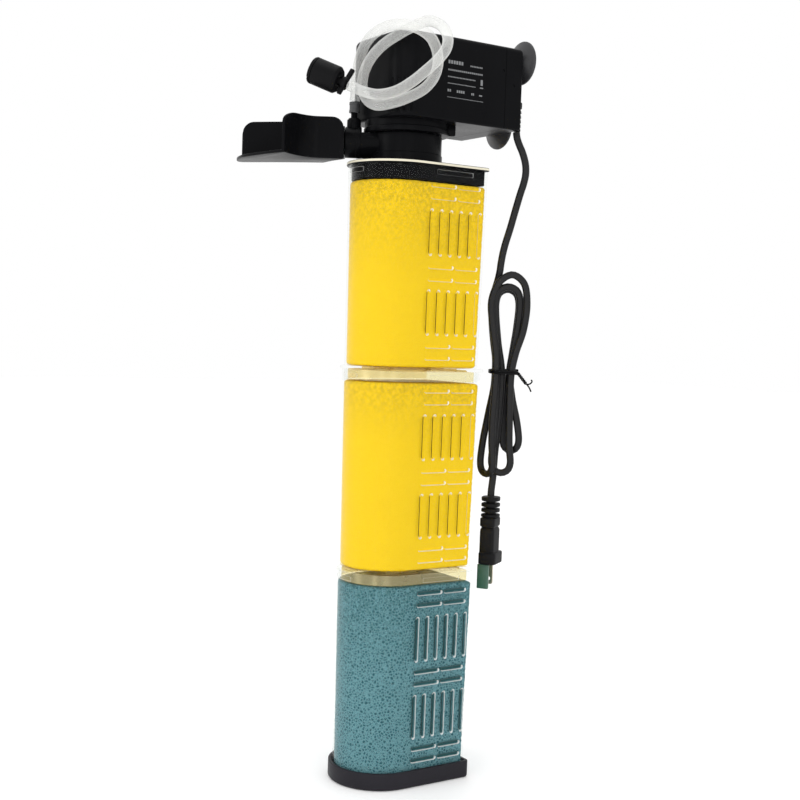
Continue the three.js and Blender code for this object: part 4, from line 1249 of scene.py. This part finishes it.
def lid():
    """Lid with a pale bead at its top edge, a skirt in the upper cup and the neck's spigot."""
    under = JOINT_Z + 3 * CUP_PITCH
    base = lid_plan(0)

    def at_neck(radius, z):
        return at_height(polar_circle(base, radius), z)

    edge = rounded([(3, under), (0, under), (0, LID_TOP), (6, LID_TOP)], 0.6, 4)
    spigot = ((17.6, 5), (20, 5), (20.2, 4.7), (20.2, 0.3), (20.5, 0))
    rings = [at_neck(radius, LID_TOP + lift) for radius, lift in spigot]
    rings += [at_height(lid_plan(inset), z) for inset, z in reversed(edge[1:])]
    skirt, foot = WALL + GAP, under - LID_SKIRT_DEEP
    skirt_profile = ((0, under), (0, foot + 0.4), (0.4, foot), (1.8, foot), (1.8, under))
    rings += [cup_ring(2, skirt + inset, z) for inset, z in skirt_profile]
    rings.append(at_neck(17.6, under))
    mesh = loft(rings, closed=True)
    for polygon in mesh.polygons:
        out = abs(polygon.normal.z) < 0.35 and polygon.center.z > LID_TOP - 1.5
        if out and (Vector(polygon.center[:2]) - Vector((0, AXIS_Y))).length > 25:
            polygon.material_index = 1
    finished(to_object("case_lid_moulding", mesh, [BLACK, BEAD]), "case_lid")


base_cap()
LEVELS = (("lower", SLOT_TEAL, TEAL, 1.9, 0.5), ("middle", SLOT_DARK, YELLOW, 1.5, 0.35),
          ("upper", SLOT_DARK, YELLOW, 1.5, 0.35))
for k, (level, slot_finish, *_) in enumerate(LEVELS):
    cup(level + "_cup", k, slot_finish)
for k, (level, _, *filling) in enumerate(LEVELS):
    foam(level + "_foam", level + "_sponge", k, *filling)
lid()


# ---------------------------------------------------------------- pump head

def rod(radius, start, end, sides, matrix, edge=0.0):
    """A round bar along Z, placed by a matrix."""
    profile = [(0, start), (radius, start), (radius, end), (0, end)]
    return turned(rounded(profile, edge, 3), sides, matrix=matrix)


def outlet_bar(radius, start, end, sides=48, edge=0.0):
    """A round bar on the outlet's axis, by distances from the neck's axis."""
    origin = Vector((0, AXIS_Y, OUTLET_Z)) + SIDE * OUTLET_OFFSET
    return rod(radius, start, end, sides, along(OUTLET, origin), edge)


def clipped_bar(radius, start, end, ceiling, sides=64):
    """The nozzle where it runs under the head: a round bar whose crown is planed off level."""
    rings = []
    for distance in (start, end):
        ring = []
        for i in range(sides):
            a = 2 * math.pi * i / sides
            spot = OUTLET * distance + SIDE * (OUTLET_OFFSET + radius * math.cos(a))
            ring.append((spot.x, spot.y + AXIS_Y, min(OUTLET_Z + radius * math.sin(a), ceiling)))
        rings.append(ring)
    return loft(rings)


def volute():
    """Pump chamber with the neck, the outlet nozzle and the air nipple."""
    foot = LID_TOP + GAP
    neck = [(0, foot), (NECK_RADIUS, foot), (NECK_RADIUS, foot + 6), (NECK_RADIUS - 0.5, foot + 6.5),
            (NECK_RADIUS - 0.5, NECK_TOP), (0, NECK_TOP)]
    body = turned(rounded(neck, [0, 0.9, 0.2, 0.2, 0.9, 0], 3), 96, matrix=moved(0, AXIS_Y))
    x, y = NIPPLE_AT
    boss = [(0, 440), (4.7, 440), (4.7, 449.5), (3.4, 451), (2.2, 451), (2.2, 461), (1.7, 461.5),
            (1, 461.5)]
    boss = rounded(boss, [0, 0, 0.5, 0.3, 0.4, 0.2, 0.2, 0], 2)
    nipple = turned([*boss, (1, 445), (0, 445)], 32, matrix=moved(x, y))
    nozzle = outlet_bar(10.4, 30, NOZZLE_END, edge=0.6)
    step = outlet_bar(10.6, 30.3, 33.5, edge=0.3)
    body = union(body, clipped_bar(10.37, 12, 30.6, NECK_TOP - GAP), nozzle, step, nipple)
    recess = rod(22.3, foot - 1, 427.2, 64, moved(0, AXIS_Y))
    body = cut(body, outlet_bar(8.6, 31, NOZZLE_END + 1), recess)
    finished(to_object("volute_moulding", body, BLACK), "volute_housing")


def head_shell():
    """The hollow motor head before it is parted at the seam."""
    outer = [(8, HEAD_BOTTOM), (0, HEAD_BOTTOM), (0, HEAD_TOP), (8, HEAD_TOP)]
    skin = stack(head_plan, rounded(outer, [0, 2, 3.6, 0], 7))
    low, high = HEAD_BOTTOM + HEAD_WALL, HEAD_TOP - HEAD_WALL
    hollow = [(0.5, low), (0, low + 0.6), (0, high - 2), (2, high)]
    return cut(skin, stack(head_plan, [(HEAD_WALL + inset, z) for inset, z in hollow]))


def side_dimple(y, z, radius):
    """A shallow round dimple in the rating side, at its rim's centre."""
    profile = [(0, -0.6), (radius * 0.7, -0.5), (radius, 0.05), (radius, 1), (0, 1)]
    return turned(profile, 24, matrix=along((1, 0, 0), (HEAD_HALF, y, z)))


def motor_housing():
    """Front of the head, with its collar round the neck, a lug and fluted front corners."""
    front = block((-60, 60), (-60, SEAM_Y), (HEAD_BOTTOM - 5, HEAD_TOP + 5))
    shell = boolean(head_shell(), front, "INTERSECT")
    low, high, inner, outer = NECK_TOP + GAP, HEAD_BOTTOM + 1, 23.2, COLLAR_RADIUS
    collar = [(inner, low), (outer, low), (outer, NECK_TOP + 3.6), (outer - 0.6, NECK_TOP + 4.1),
              (outer - 0.6, high), (inner, high)]
    collar = rounded(collar, [0.2, 0.6, 0.2, 0.2, 0, 0], 3, closed=True)
    ring = turned(collar, 112, True, moved(0, AXIS_Y))
    lug = block((26.5, 33.5), (-3, 3), (442, 449.4), 0.6)
    lug.transform(moved(0, AXIS_Y) @ Matrix.Rotation(math.radians(56.6), 4, "Z"))
    shell = union(shell, ring, lug)
    bore = rod(10.4, NECK_TOP, HEAD_BOTTOM + 4, 48, moved(0, AXIS_Y))
    low, high = HEAD_BOTTOM + 3, HEAD_BOTTOM + 25
    flute = rounded([(0, low), (1.05, low), (1.05, high), (0, high)], 1.0, 4)
    reach = HEAD_FRONT_ROUND + 0.35
    flutes = []
    for turn in (-72, -56, -40, -24):
        for side in (1, -1):
            a = math.radians(turn)
            x = side * (HEAD_HALF - HEAD_FRONT_ROUND + reach * math.cos(a))
            y = HEAD_FRONT + HEAD_FRONT_ROUND + reach * math.sin(a)
            flutes.append(turned(flute, 16, matrix=moved(x, y)))
    shell = cut(shell, bore, combined(flutes), side_dimple(52.2, 487.9, 1))
    finished(to_object("motor_housing_moulding", shell, BLACK), "motor_housing")


def rear_cover():
    """Back of the head: it slides over a lip, and has a hole for each suction cup's stud."""
    behind = block((-60, 60), (SEAM_Y + GAP, 90), (HEAD_BOTTOM - 5, HEAD_TOP + 5))
    shell = boolean(head_shell(), behind, "INTERSECT")
    inset = HEAD_WALL + GAP
    lip = stack(head_plan, [(inset, HEAD_BOTTOM + 3), (inset, HEAD_TOP - 4)])
    lip = cut(lip, stack(head_plan, [(inset + 1.5, HEAD_BOTTOM + 4), (inset + 1.5, HEAD_TOP - 5)]))
    lip = boolean(lip, block((-60, 60), (SEAM_Y - 3, SEAM_Y + 1.5), (HEAD_BOTTOM, HEAD_TOP)), "INTERSECT")
    shell = union(shell, lip)
    holes = [rod(2.7, 55, 70, 24, along((0, 1, 0), (x, 0, z))) for x, z in CUP_PLACES.values()]
    shell = cut(shell, combined(holes), side_dimple(61.3, 478.7, 1.1))
    finished(to_object("rear_cover_moulding", shell, BLACK), "rear_cover")


def rating_bars():
    """Rows of small plain grey bars where a rating plate is printed."""
    face = (HEAD_HALF - 0.05, HEAD_HALF + 0.06)
    bars = []
    for z, tall, start, end, pitch in BAR_ROWS:
        for i in range(max(1, round((end - start) / pitch))):
            y = start + i * pitch
            bars.append(block(face, (y, y + BAR_SHARE * pitch), (z - tall / 2, z + tall / 2), 0.05, 1))
    bars += [block(face, y, z, 0.05, 1) for y, z in BAR_SIGN]
    marks = to_object("rating_bars", combined(bars), INK)
    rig.ride(marks, "pump_head")
    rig.slot(marks, "grey_plastic")


def suction_cups():
    """Three cups on studs, whose rims lie in one plane behind the head."""
    outline = [(0, 64), (3.5, 64), (3.5, 66.1), (2.3, 66.1), (2.3, 69.3), (6, 69.3), (7.6, 70.6),
               (10.5, 72.6), (14.3, 75), (SUCTION_RADIUS, 75.6), (SUCTION_RADIUS, SUCTION_PLANE),
               (13.6, SUCTION_PLANE), (9, 73.9), (4, 71.9), (0, 71.2)]
    outline = rounded(outline, [0, 0.5, 0.3, 0.3, 0.6, 1, 2, 6, 2, 0.3, 0.3, 0.8, 5, 5, 0], 4)
    for name, (x, z) in CUP_PLACES.items():
        mesh = turned(outline, 72, matrix=along((0, 1, 0), (x, 0, z)))
        node = "suction_cup_" + name
        finished(to_object(node + "_rubber", mesh, CUP_RUBBER), node)


def cord_gland():
    """Tapered, ringed strain relief where the lead leaves the rear cover."""
    x, y, z = DROP_ROUTE[0]
    low = z + 2 * GAP
    hood = [(0, low), (2.7, low)]
    radii = [0, 0.2]
    for i in range(5):
        ring = low + 1.4 + 3.2 * i
        hood += [(2.72, ring), (2.45, ring + 0.3), (2.5, ring + 1.1), (2.8 + 0.1 * i, ring + 1.4)]
        radii += [0.1, 0.15, 0.15, 0.1]
    hood += [(3.3, low + 18), (3.3, low + 20), (0, low + 20)]
    hood = turned(rounded(hood, radii + [0.3, 0.8, 0], 2), 40, matrix=moved(x, y))
    root = block((x - 2.8, x + 2.8), (HEAD_REAR + GAP, y), (low + 14, low + 19.4), 0.6)
    hole = rod(2.4, low - 1, low + 3, 28, moved(x, y))
    finished(to_object("cord_gland_rubber", cut(union(hood, root), hole), RUBBER), "cord_gland")


volute()
motor_housing()
rear_cover()
rating_bars()
suction_cups()
cord_gland()


# ---------------------------------------------------------------- deflector

def chute_point(distance, across):
    """A point of the deflector's plan from its distance along the outlet and across it."""
    spot = OUTLET * distance + SIDE * across
    return spot.x, spot.y + AXIS_Y


def spline(points, steps):
    """Points on a uniform Catmull-Rom curve in the plane of the chute."""
    p = with_ends(points)
    curve = []
    spans = len(p) - 3
    for i in range(steps + 1):
        s = min(i * spans / steps, spans - 1e-9)
        k, t = int(s), s - int(s)
        a, b, c, d = p[k:k + 4]
        curve.append(0.5 * (2 * b + (c - a) * t + (2 * a - 5 * b + 4 * c - d) * t * t
                            + (3 * b - a - 3 * c + d) * t ** 3))
    return [tuple(v) for v in curve]


def chute_wall(line, inward, top_of, foot_of):
    """A wall that follows a line on plan, with a rounded top edge and a changing height."""
    rings = []
    points = np.array(line)
    tangents = np.gradient(points, axis=0)
    tangents /= np.linalg.norm(tangents, axis=1)[:, None]
    for (distance, across), tangent in zip(points, tangents):
        normal = np.array((-tangent[1], tangent[0])) * math.copysign(1, inward)
        top, foot = top_of(distance), foot_of(distance)
        section = [(0, foot), (0, top), (CHUTE_WALL, top), (CHUTE_WALL, foot)]
        rings.append([(*chute_point(distance + normal[0] * s, across + normal[1] * s), z)
                      for s, z in rounded(section, [0, 0.8, 0.8, 0], 4)])
    return loft(rings)


def chute_top(end, end_round):
    """A wall's top edge by distance, level between a round at its rear and one at its end."""
    def top_of(distance):
        drop = 0.0
        for reach, radius in ((CHUTE_REAR + CHUTE_REAR_ROUND - distance, CHUTE_REAR_ROUND),
                              (min(distance - end + end_round, end_round), end_round)):
            if reach > 0:
                drop = radius - math.sqrt(max(0.0, radius ** 2 - reach * reach))
        return CHUTE_TOP - drop
    return top_of


def deflector():
    """A fan-shaped chute, open above and in front, on a spigot in the nozzle."""
    near = spline(NEAR_WALL, 70)
    far = spline(FAR_WALL, 70)
    lip = spline(LIP, 48)
    open_far = [point for point in far if point[0] > CHUTE_DIAGONAL][::-1]
    outline = [chute_point(*p) for p in [*near, *lip[1:-1], *open_far, (CHUTE_DIAGONAL, FAR_WALL[1][1])]]
    floor = extruded(outline, CHUTE_FLOOR, CHUTE_FLOOR + CHUTE_WALL, 0.5)

    def lifted(distance):
        t = min(1.0, max(0.0, (CHUTE_DIAGONAL - distance) / (CHUTE_DIAGONAL - CHUTE_REAR)))
        return CHUTE_FLOOR + 0.5 + t * (REAR_PLATE_Z[0] - CHUTE_FLOOR - 0.5)

    near_wall = chute_wall(near, -1, chute_top(NEAR_WALL[-1][0], 7), lambda distance: CHUTE_FLOOR + 0.5)
    far_wall = chute_wall(far, 1, chute_top(FAR_WALL[-1][0], 8), lifted)
    low, high = FAR_WALL[0][1], NEAR_WALL[0][1]
    corners = [(CHUTE_REAR, low), (CHUTE_REAR + 2, low), (CHUTE_REAR + 2, high), (CHUTE_REAR, high)]
    rear = [chute_point(*p) for p in rounded(corners, 0.3, 2, closed=True)]
    body = union(floor, near_wall, far_wall, extruded(rear, *REAR_PLATE_Z, 0.3),
                 outlet_bar(10.9, CHUTE_REAR, CHUTE_REAR + 2, 64, 0.3),
                 outlet_bar(8.2, 31.5, CHUTE_REAR + 1))
    body = cut(body, outlet_bar(6.6, 30, CHUTE_REAR + 3))
    finished(to_object("deflector_moulding", body, BLACK), "deflector")


deflector()


# ---------------------------------------------------------------- hose fittings and silencer

def hose_nut():
    """Knurled collar that holds the hose on the air nipple."""
    outline = [(2.5, 454.5), (3.6, 454.5), (3.6, 456), (3.35, 456.3), (3.35, 459.6), (3.6, 459.9),
               (3.5, 461.8), (2.5, 461.8)]

    def knurl(radius, height, angle):
        return radius - (0.12 * max(0, math.cos(18 * angle)) if 456.4 < height < 459.5 else 0)

    mesh = turned(rounded(outline, 0.2, 2, closed=True), 108, True, moved(*NIPPLE_AT), knurl)
    finished(to_object("hose_nut_collar", mesh, GREY), "hose_nut")


def silencer():
    """Barrel with a notched cap, a foam plug, an air valve with two wings, and the nipple."""
    place = along(SILENCER_AXIS, SILENCER_START)
    rear = BARREL_LONG
    shell = [(7.6, 3), (BARREL_RADIUS, 3), (BARREL_RADIUS, rear - 2), (BARREL_RADIUS - 1.6, rear), (2.6, rear),
             (2.6, rear - 2), (7.6, rear - 2)]
    body = turned(rounded(shell, [0.3, 0.3, 1.2, 0.8, 0.3, 0, 0], 4, closed=True), 72, True)
    body.transform(place)
    finished(to_object("silencer_barrel", body, BLACK_SATIN), "silencer_body")
    cap = [(1.5, 1), (7.2, 0.2), (8.6, 0.5), (BARREL_RADIUS, 1.4), (BARREL_RADIUS, 2.7), (7.3, 2.7),
           (7.3, 5), (1.5, 5)]
    cap = turned(rounded(cap, [0.4, 0.6, 0.5, 0.4, 0.2, 0.2, 0.2, 0.3], 3, closed=True), 72, True)
    notches = []
    for i in range(6):
        notch = block((7.9, 11), (-1, 1), (-1, 1.7), 0.2)
        notch.transform(Matrix.Rotation(math.radians(60 * i), 4, "Z"))
        notches.append(notch)
    cap = cut(cap, combined(notches))
    cap.transform(place)
    finished(to_object("silencer_cap_moulding", cap, BLACK_SATIN), "silencer_cap")
    stem = [(1, 16), (4, 16), (4, 18.2), (2.2, 18.2), (2.2, 24.4), (2.5, 24.9), (2.05, 26.1), (2.2, 26.5),
            (2, NIPPLE_TIP), (1, NIPPLE_TIP)]
    stem = rounded(stem, [0.2, 0.3, 0.3, 0.3, 0.2, 0.1, 0.1, 0.1, 0.2, 0.1], 2, closed=True)
    stem = turned(stem, 40, True)
    stem.transform(place)
    finished(to_object("silencer_stem", stem, BLACK_SATIN), "silencer_nipple")
    low, high = WING_ALONG
    eye = rounded([(2.6, low), (4.2, low), (4.2, high), (2.6, high)], 0.3, 2, closed=True)
    eye = turned(eye, 48, True)
    wings = []
    for tip in (-WING_UPPER, WING_LOWER):
        root = math.copysign(3.2, tip)
        outline = [(root, -1.4), (tip, -1.6), (tip, 1.6), (root, 1.4)]
        outline = rounded(outline, [0.1, 1.2, 1.2, 0.1], 4, closed=True)
        wings.append(extruded(outline, low + 0.1, high - 0.1, 0.4))
    valve = union(eye, *wings)
    valve.transform(place @ Matrix.Rotation(WING_TURN, 4, "Z"))
    finished(to_object("air_valve_handle", valve, BLACK_SATIN), "air_valve_wing")
    return ["silencer_barrel", "silencer_cap_moulding", "silencer_stem", "air_valve_handle",
            NODES["silencer_foam"]]


hose_nut()
silencer_pieces = silencer()
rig.cord(hose, exit=metres([HOSE_ROUTE[0]])[0], length=0.374, diameter=2 * HOSE_RADIUS * MM,
        far_end="fitting", stiffness="medium", lay="loose", path=metres(hose_path),
        with_pieces=silencer_pieces)


# ---------------------------------------------------------------- tie and plug

def cord_tie():
    """Paper-covered wire wound twice round the bundle and twisted, with two free tails."""
    half, deep = WAIST_HALF - 0.6, HANK_THICK / 2 + 1.3
    turns = []
    for i in range(49):
        a = 2 * math.pi * 2 * i / 48
        across, out = (math.copysign(abs(v) ** 0.55, v) for v in (math.cos(a), math.sin(a)))
        turns.append(hank_point(half * across, deep * out, TIE_Z - 1.2 + 2.6 * i / 48))
    wire = [swept(smooth_path(turns, 1.1), circle(0.75, 10))]
    root = Vector(hank_point(half - 0.4, 4.6, TIE_Z))
    right, down, out = HANK_ACROSS, Vector((0, 0, -1)), HANK_OUT
    knot, other = [], []
    for i in range(28):
        a = 2 * math.pi * 3 * i / 27
        centre = root + right * (0.4 + 0.22 * i) + down * (0.6 + 0.27 * i)
        knot.append(centre + (out * math.cos(a) + (right + Vector((0, 0, 1))) * 0.7 * math.sin(a)) * 0.75)
        other.append(2 * centre - knot[-1])
    tails = ((knot, ((2.0, 2.2), (3.6, 5.4))), (other, ((2.2, 0.2), (4.2, -1.6), (3.6, -3.0))))
    for strand, tail in tails:
        tip = strand[-1]
        route = strand + [tip + right * across + down * fall for across, fall in tail]
        wire.append(swept(smooth_path(route, 0.8), circle(0.55, 8)))
    finished(to_object("cord_tie_wire", combined(wire), BLACK_SATIN, 60), "cord_tie")


def superellipse(long, wide, power):
    """A round-cornered plan, squarer as its power grows."""
    points = []
    for i in range(56):
        a = 2 * math.pi * i / 56
        c, s = (math.copysign(abs(v) ** (2 / power), v) for v in (math.cos(a), math.sin(a)))
        points.append((long * c, wide * s))
    return points


def plug():
    """Ribbed strain relief, body, two flat blades and the soft sleeve on the near one."""
    place = basis(PIN_ACROSS, Vector((0, 0, 1)).cross(PIN_ACROSS), (0, 0, 1), PLUG_AT)

    def body_of(levels, power, shift=0):
        rings = [[(x, y + shift, z) for x, y in superellipse(long, wide, power)]
                 for long, wide, z in levels]
        mesh = loft(rings)
        mesh.transform(place)
        return mesh

    relief = body_of([(2.9, 2.9, 194.1), (3.1, 3.1, 193.7), (3.2, 3.2, 190), (3.8, 3.7, 179.7)], 2.6)
    for low, high, long in RELIEF_RIBS:
        wide = long - 0.5
        edge = ((0.7, 0), (0.15, 0.2), (0, 0.7))
        levels = [(long - pull, wide - pull, low + rise) for pull, rise in edge]
        levels += [(long - pull, wide - pull, high - rise) for pull, rise in reversed(edge)]
        relief = union(relief, body_of(levels, 2.6))
    relief = to_object("plug_relief_ribs", relief, RUBBER, 40)
    finished(relief, "plug_strain_relief")
    trunk = body_of([(6.9, 4.9, 179.4), (7.4, 5.4, 179.1), (7.6, 5.6, 178.4), (7.6, 5.6, 174),
                     (7.2, 5.2, 173.2), (6.3, 4.7, 172.9), (6.2, 4.6, 172.4), (6.9, 4.9, 171.9),
                     (7.4, 5.2, 171.2), (7.6, 5.4, 170), (7.6, 5.4, 155.2), (7.8, 5.6, 154.8)], 7)
    plate = body_of([(8.9, 5.7, 155), (9.4, 6.2, 154.7), (9.6, 6.4, 154), (9.6, 6.4, 147.6),
                     (9.4, 6.2, 147.1), (8.9, 5.7, 146.8)], 7, FLANGE_SHIFT)
    body = to_object("plug_body_moulding", union(trunk, plate), RUBBER, 40)
    finished(body, "plug_body")
    blades = []
    for name, sign in (("near", -1), ("far", 1)):
        x = sign * BLADE_SPACING / 2
        half, tip = BLADE_HALF, BLADE_TIP
        outline = [(-half, BLADE_TOP), (-half, tip), (half, tip), (half, BLADE_TOP)]
        outline = rounded(outline, [0, 1.4, 1.4, 0], 5)
        rings = []
        for reach, shrink in ((-0.75, 0.25), (-0.5, 0), (0.5, 0), (0.75, 0.25)):
            rings.append([(x + reach, y * (1 - shrink / half), z + (shrink if z < BLADE_TIP + 9.5 else 0))
                          for y, z in outline])
        hole = rod(1.5, -3, 3, 32, along((1, 0, 0), (x, 0, BLADE_TIP + 4.1)))
        blade = cut(loft(rings), hole)
        blade.transform(place @ moved(0, BLADE_SHIFT))
        blade = to_object("plug_blade_" + name + "_brass", blade, BRASS)
        finished(blade, "plug_blade_" + name)
        blades.append(blade)
    x = -BLADE_SPACING / 2
    outer = [(x - 1.7, -4.15), (x + 1.7, -4.15), (x + 1.7, 4.15), (x - 1.7, 4.15)]
    outer = extruded(rounded(outer, 1.1, 5, closed=True), 129.3, BLADE_TOP, 0.5, 3)
    sleeve = cut(outer, block((x - 1.05, x + 1.05), (-3.45, 3.45), (130.2, 148), 0.3))
    sleeve.transform(place @ moved(0, BLADE_SHIFT))
    sleeve = to_object("blade_sleeve_soft", sleeve, GREEN)
    finished(sleeve, "blade_sleeve")
    return [relief, body, *blades, sleeve]


cord_tie()
plug_pieces = plug()
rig.cord(lead, exit=metres([DROP_ROUTE[0]])[0], length=path_length(lead_path) * MM, diameter=CORD_WIDE * MM,
        far_end="plug", stiffness="medium", lay="hanging", path=metres(lead_path),
        with_pieces=[*plug_pieces, "cord_tie_wire"])


# ---------------------------------------------------------------- floor and light

def surroundings():
    """A pale flat floor under a bright sky of soft light."""
    world = bpy.data.worlds.new("studio")
    bpy.context.scene.world = world
    world.use_nodes = True
    background = world.node_tree.nodes["Background"]
    background.inputs["Color"].default_value = (1, 1, 1, 1)
    background.inputs["Strength"].default_value = 1.0
    floor = bpy.data.meshes.new("floor")
    reach = 6.0
    corners = [(-reach, -reach, 0), (reach, -reach, 0), (reach, reach, 0), (-reach, reach, 0)]
    floor.from_pydata(corners, [], [(0, 1, 2, 3)])
    n = Nodes("floor_paint")
    n.set(Base_Color=(0.9, 0.9, 0.9, 1), Roughness=0.6)
    n.set(Emission_Color=(1, 1, 1, 1), Emission_Strength=0.14)
    floor.materials.append(n.material)
    floor = bpy.data.objects.new("floor", floor)
    floor.location.z = -0.0005
    bpy.context.scene.collection.objects.link(floor)
    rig.stage(floor)


def softbox(name, position, target, size, power):
    data = bpy.data.lights.new(name, "AREA")
    data.shape = "RECTANGLE"
    data.size, data.size_y = size
    data.energy = power
    lamp = bpy.data.objects.new(name, data)
    lamp.location = position
    lamp.rotation_euler = (Vector(target) - Vector(position)).to_track_quat("-Z", "Y").to_euler()
    bpy.context.scene.collection.objects.link(lamp)


surroundings()
bpy.context.scene.view_settings.view_transform = "Standard"
softbox("key_left", (-0.35, -1.5, 0.75), (0, 0, 0.28), (0.5, 1.1), 3.5)
softbox("strip", (0.95, -1.35, 0.4), (0, 0, 0.28), (0.07, 1.0), 2)
softbox("right", (1.4, -0.6, 0.35), (0, 0, 0.28), (0.4, 1.2), 2)
softbox("top", (0.2, -0.1, 1.9), (0, 0, 0.3), (1.2, 1.2), 5)

with open("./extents.json", "w") as sizes:
    boxes = {"cad": CAD_BOX, "visual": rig.bounds()}
    json.dump({key: [[float(c) for c in corner] for corner in box] for key, box in boxes.items()}, sizes)
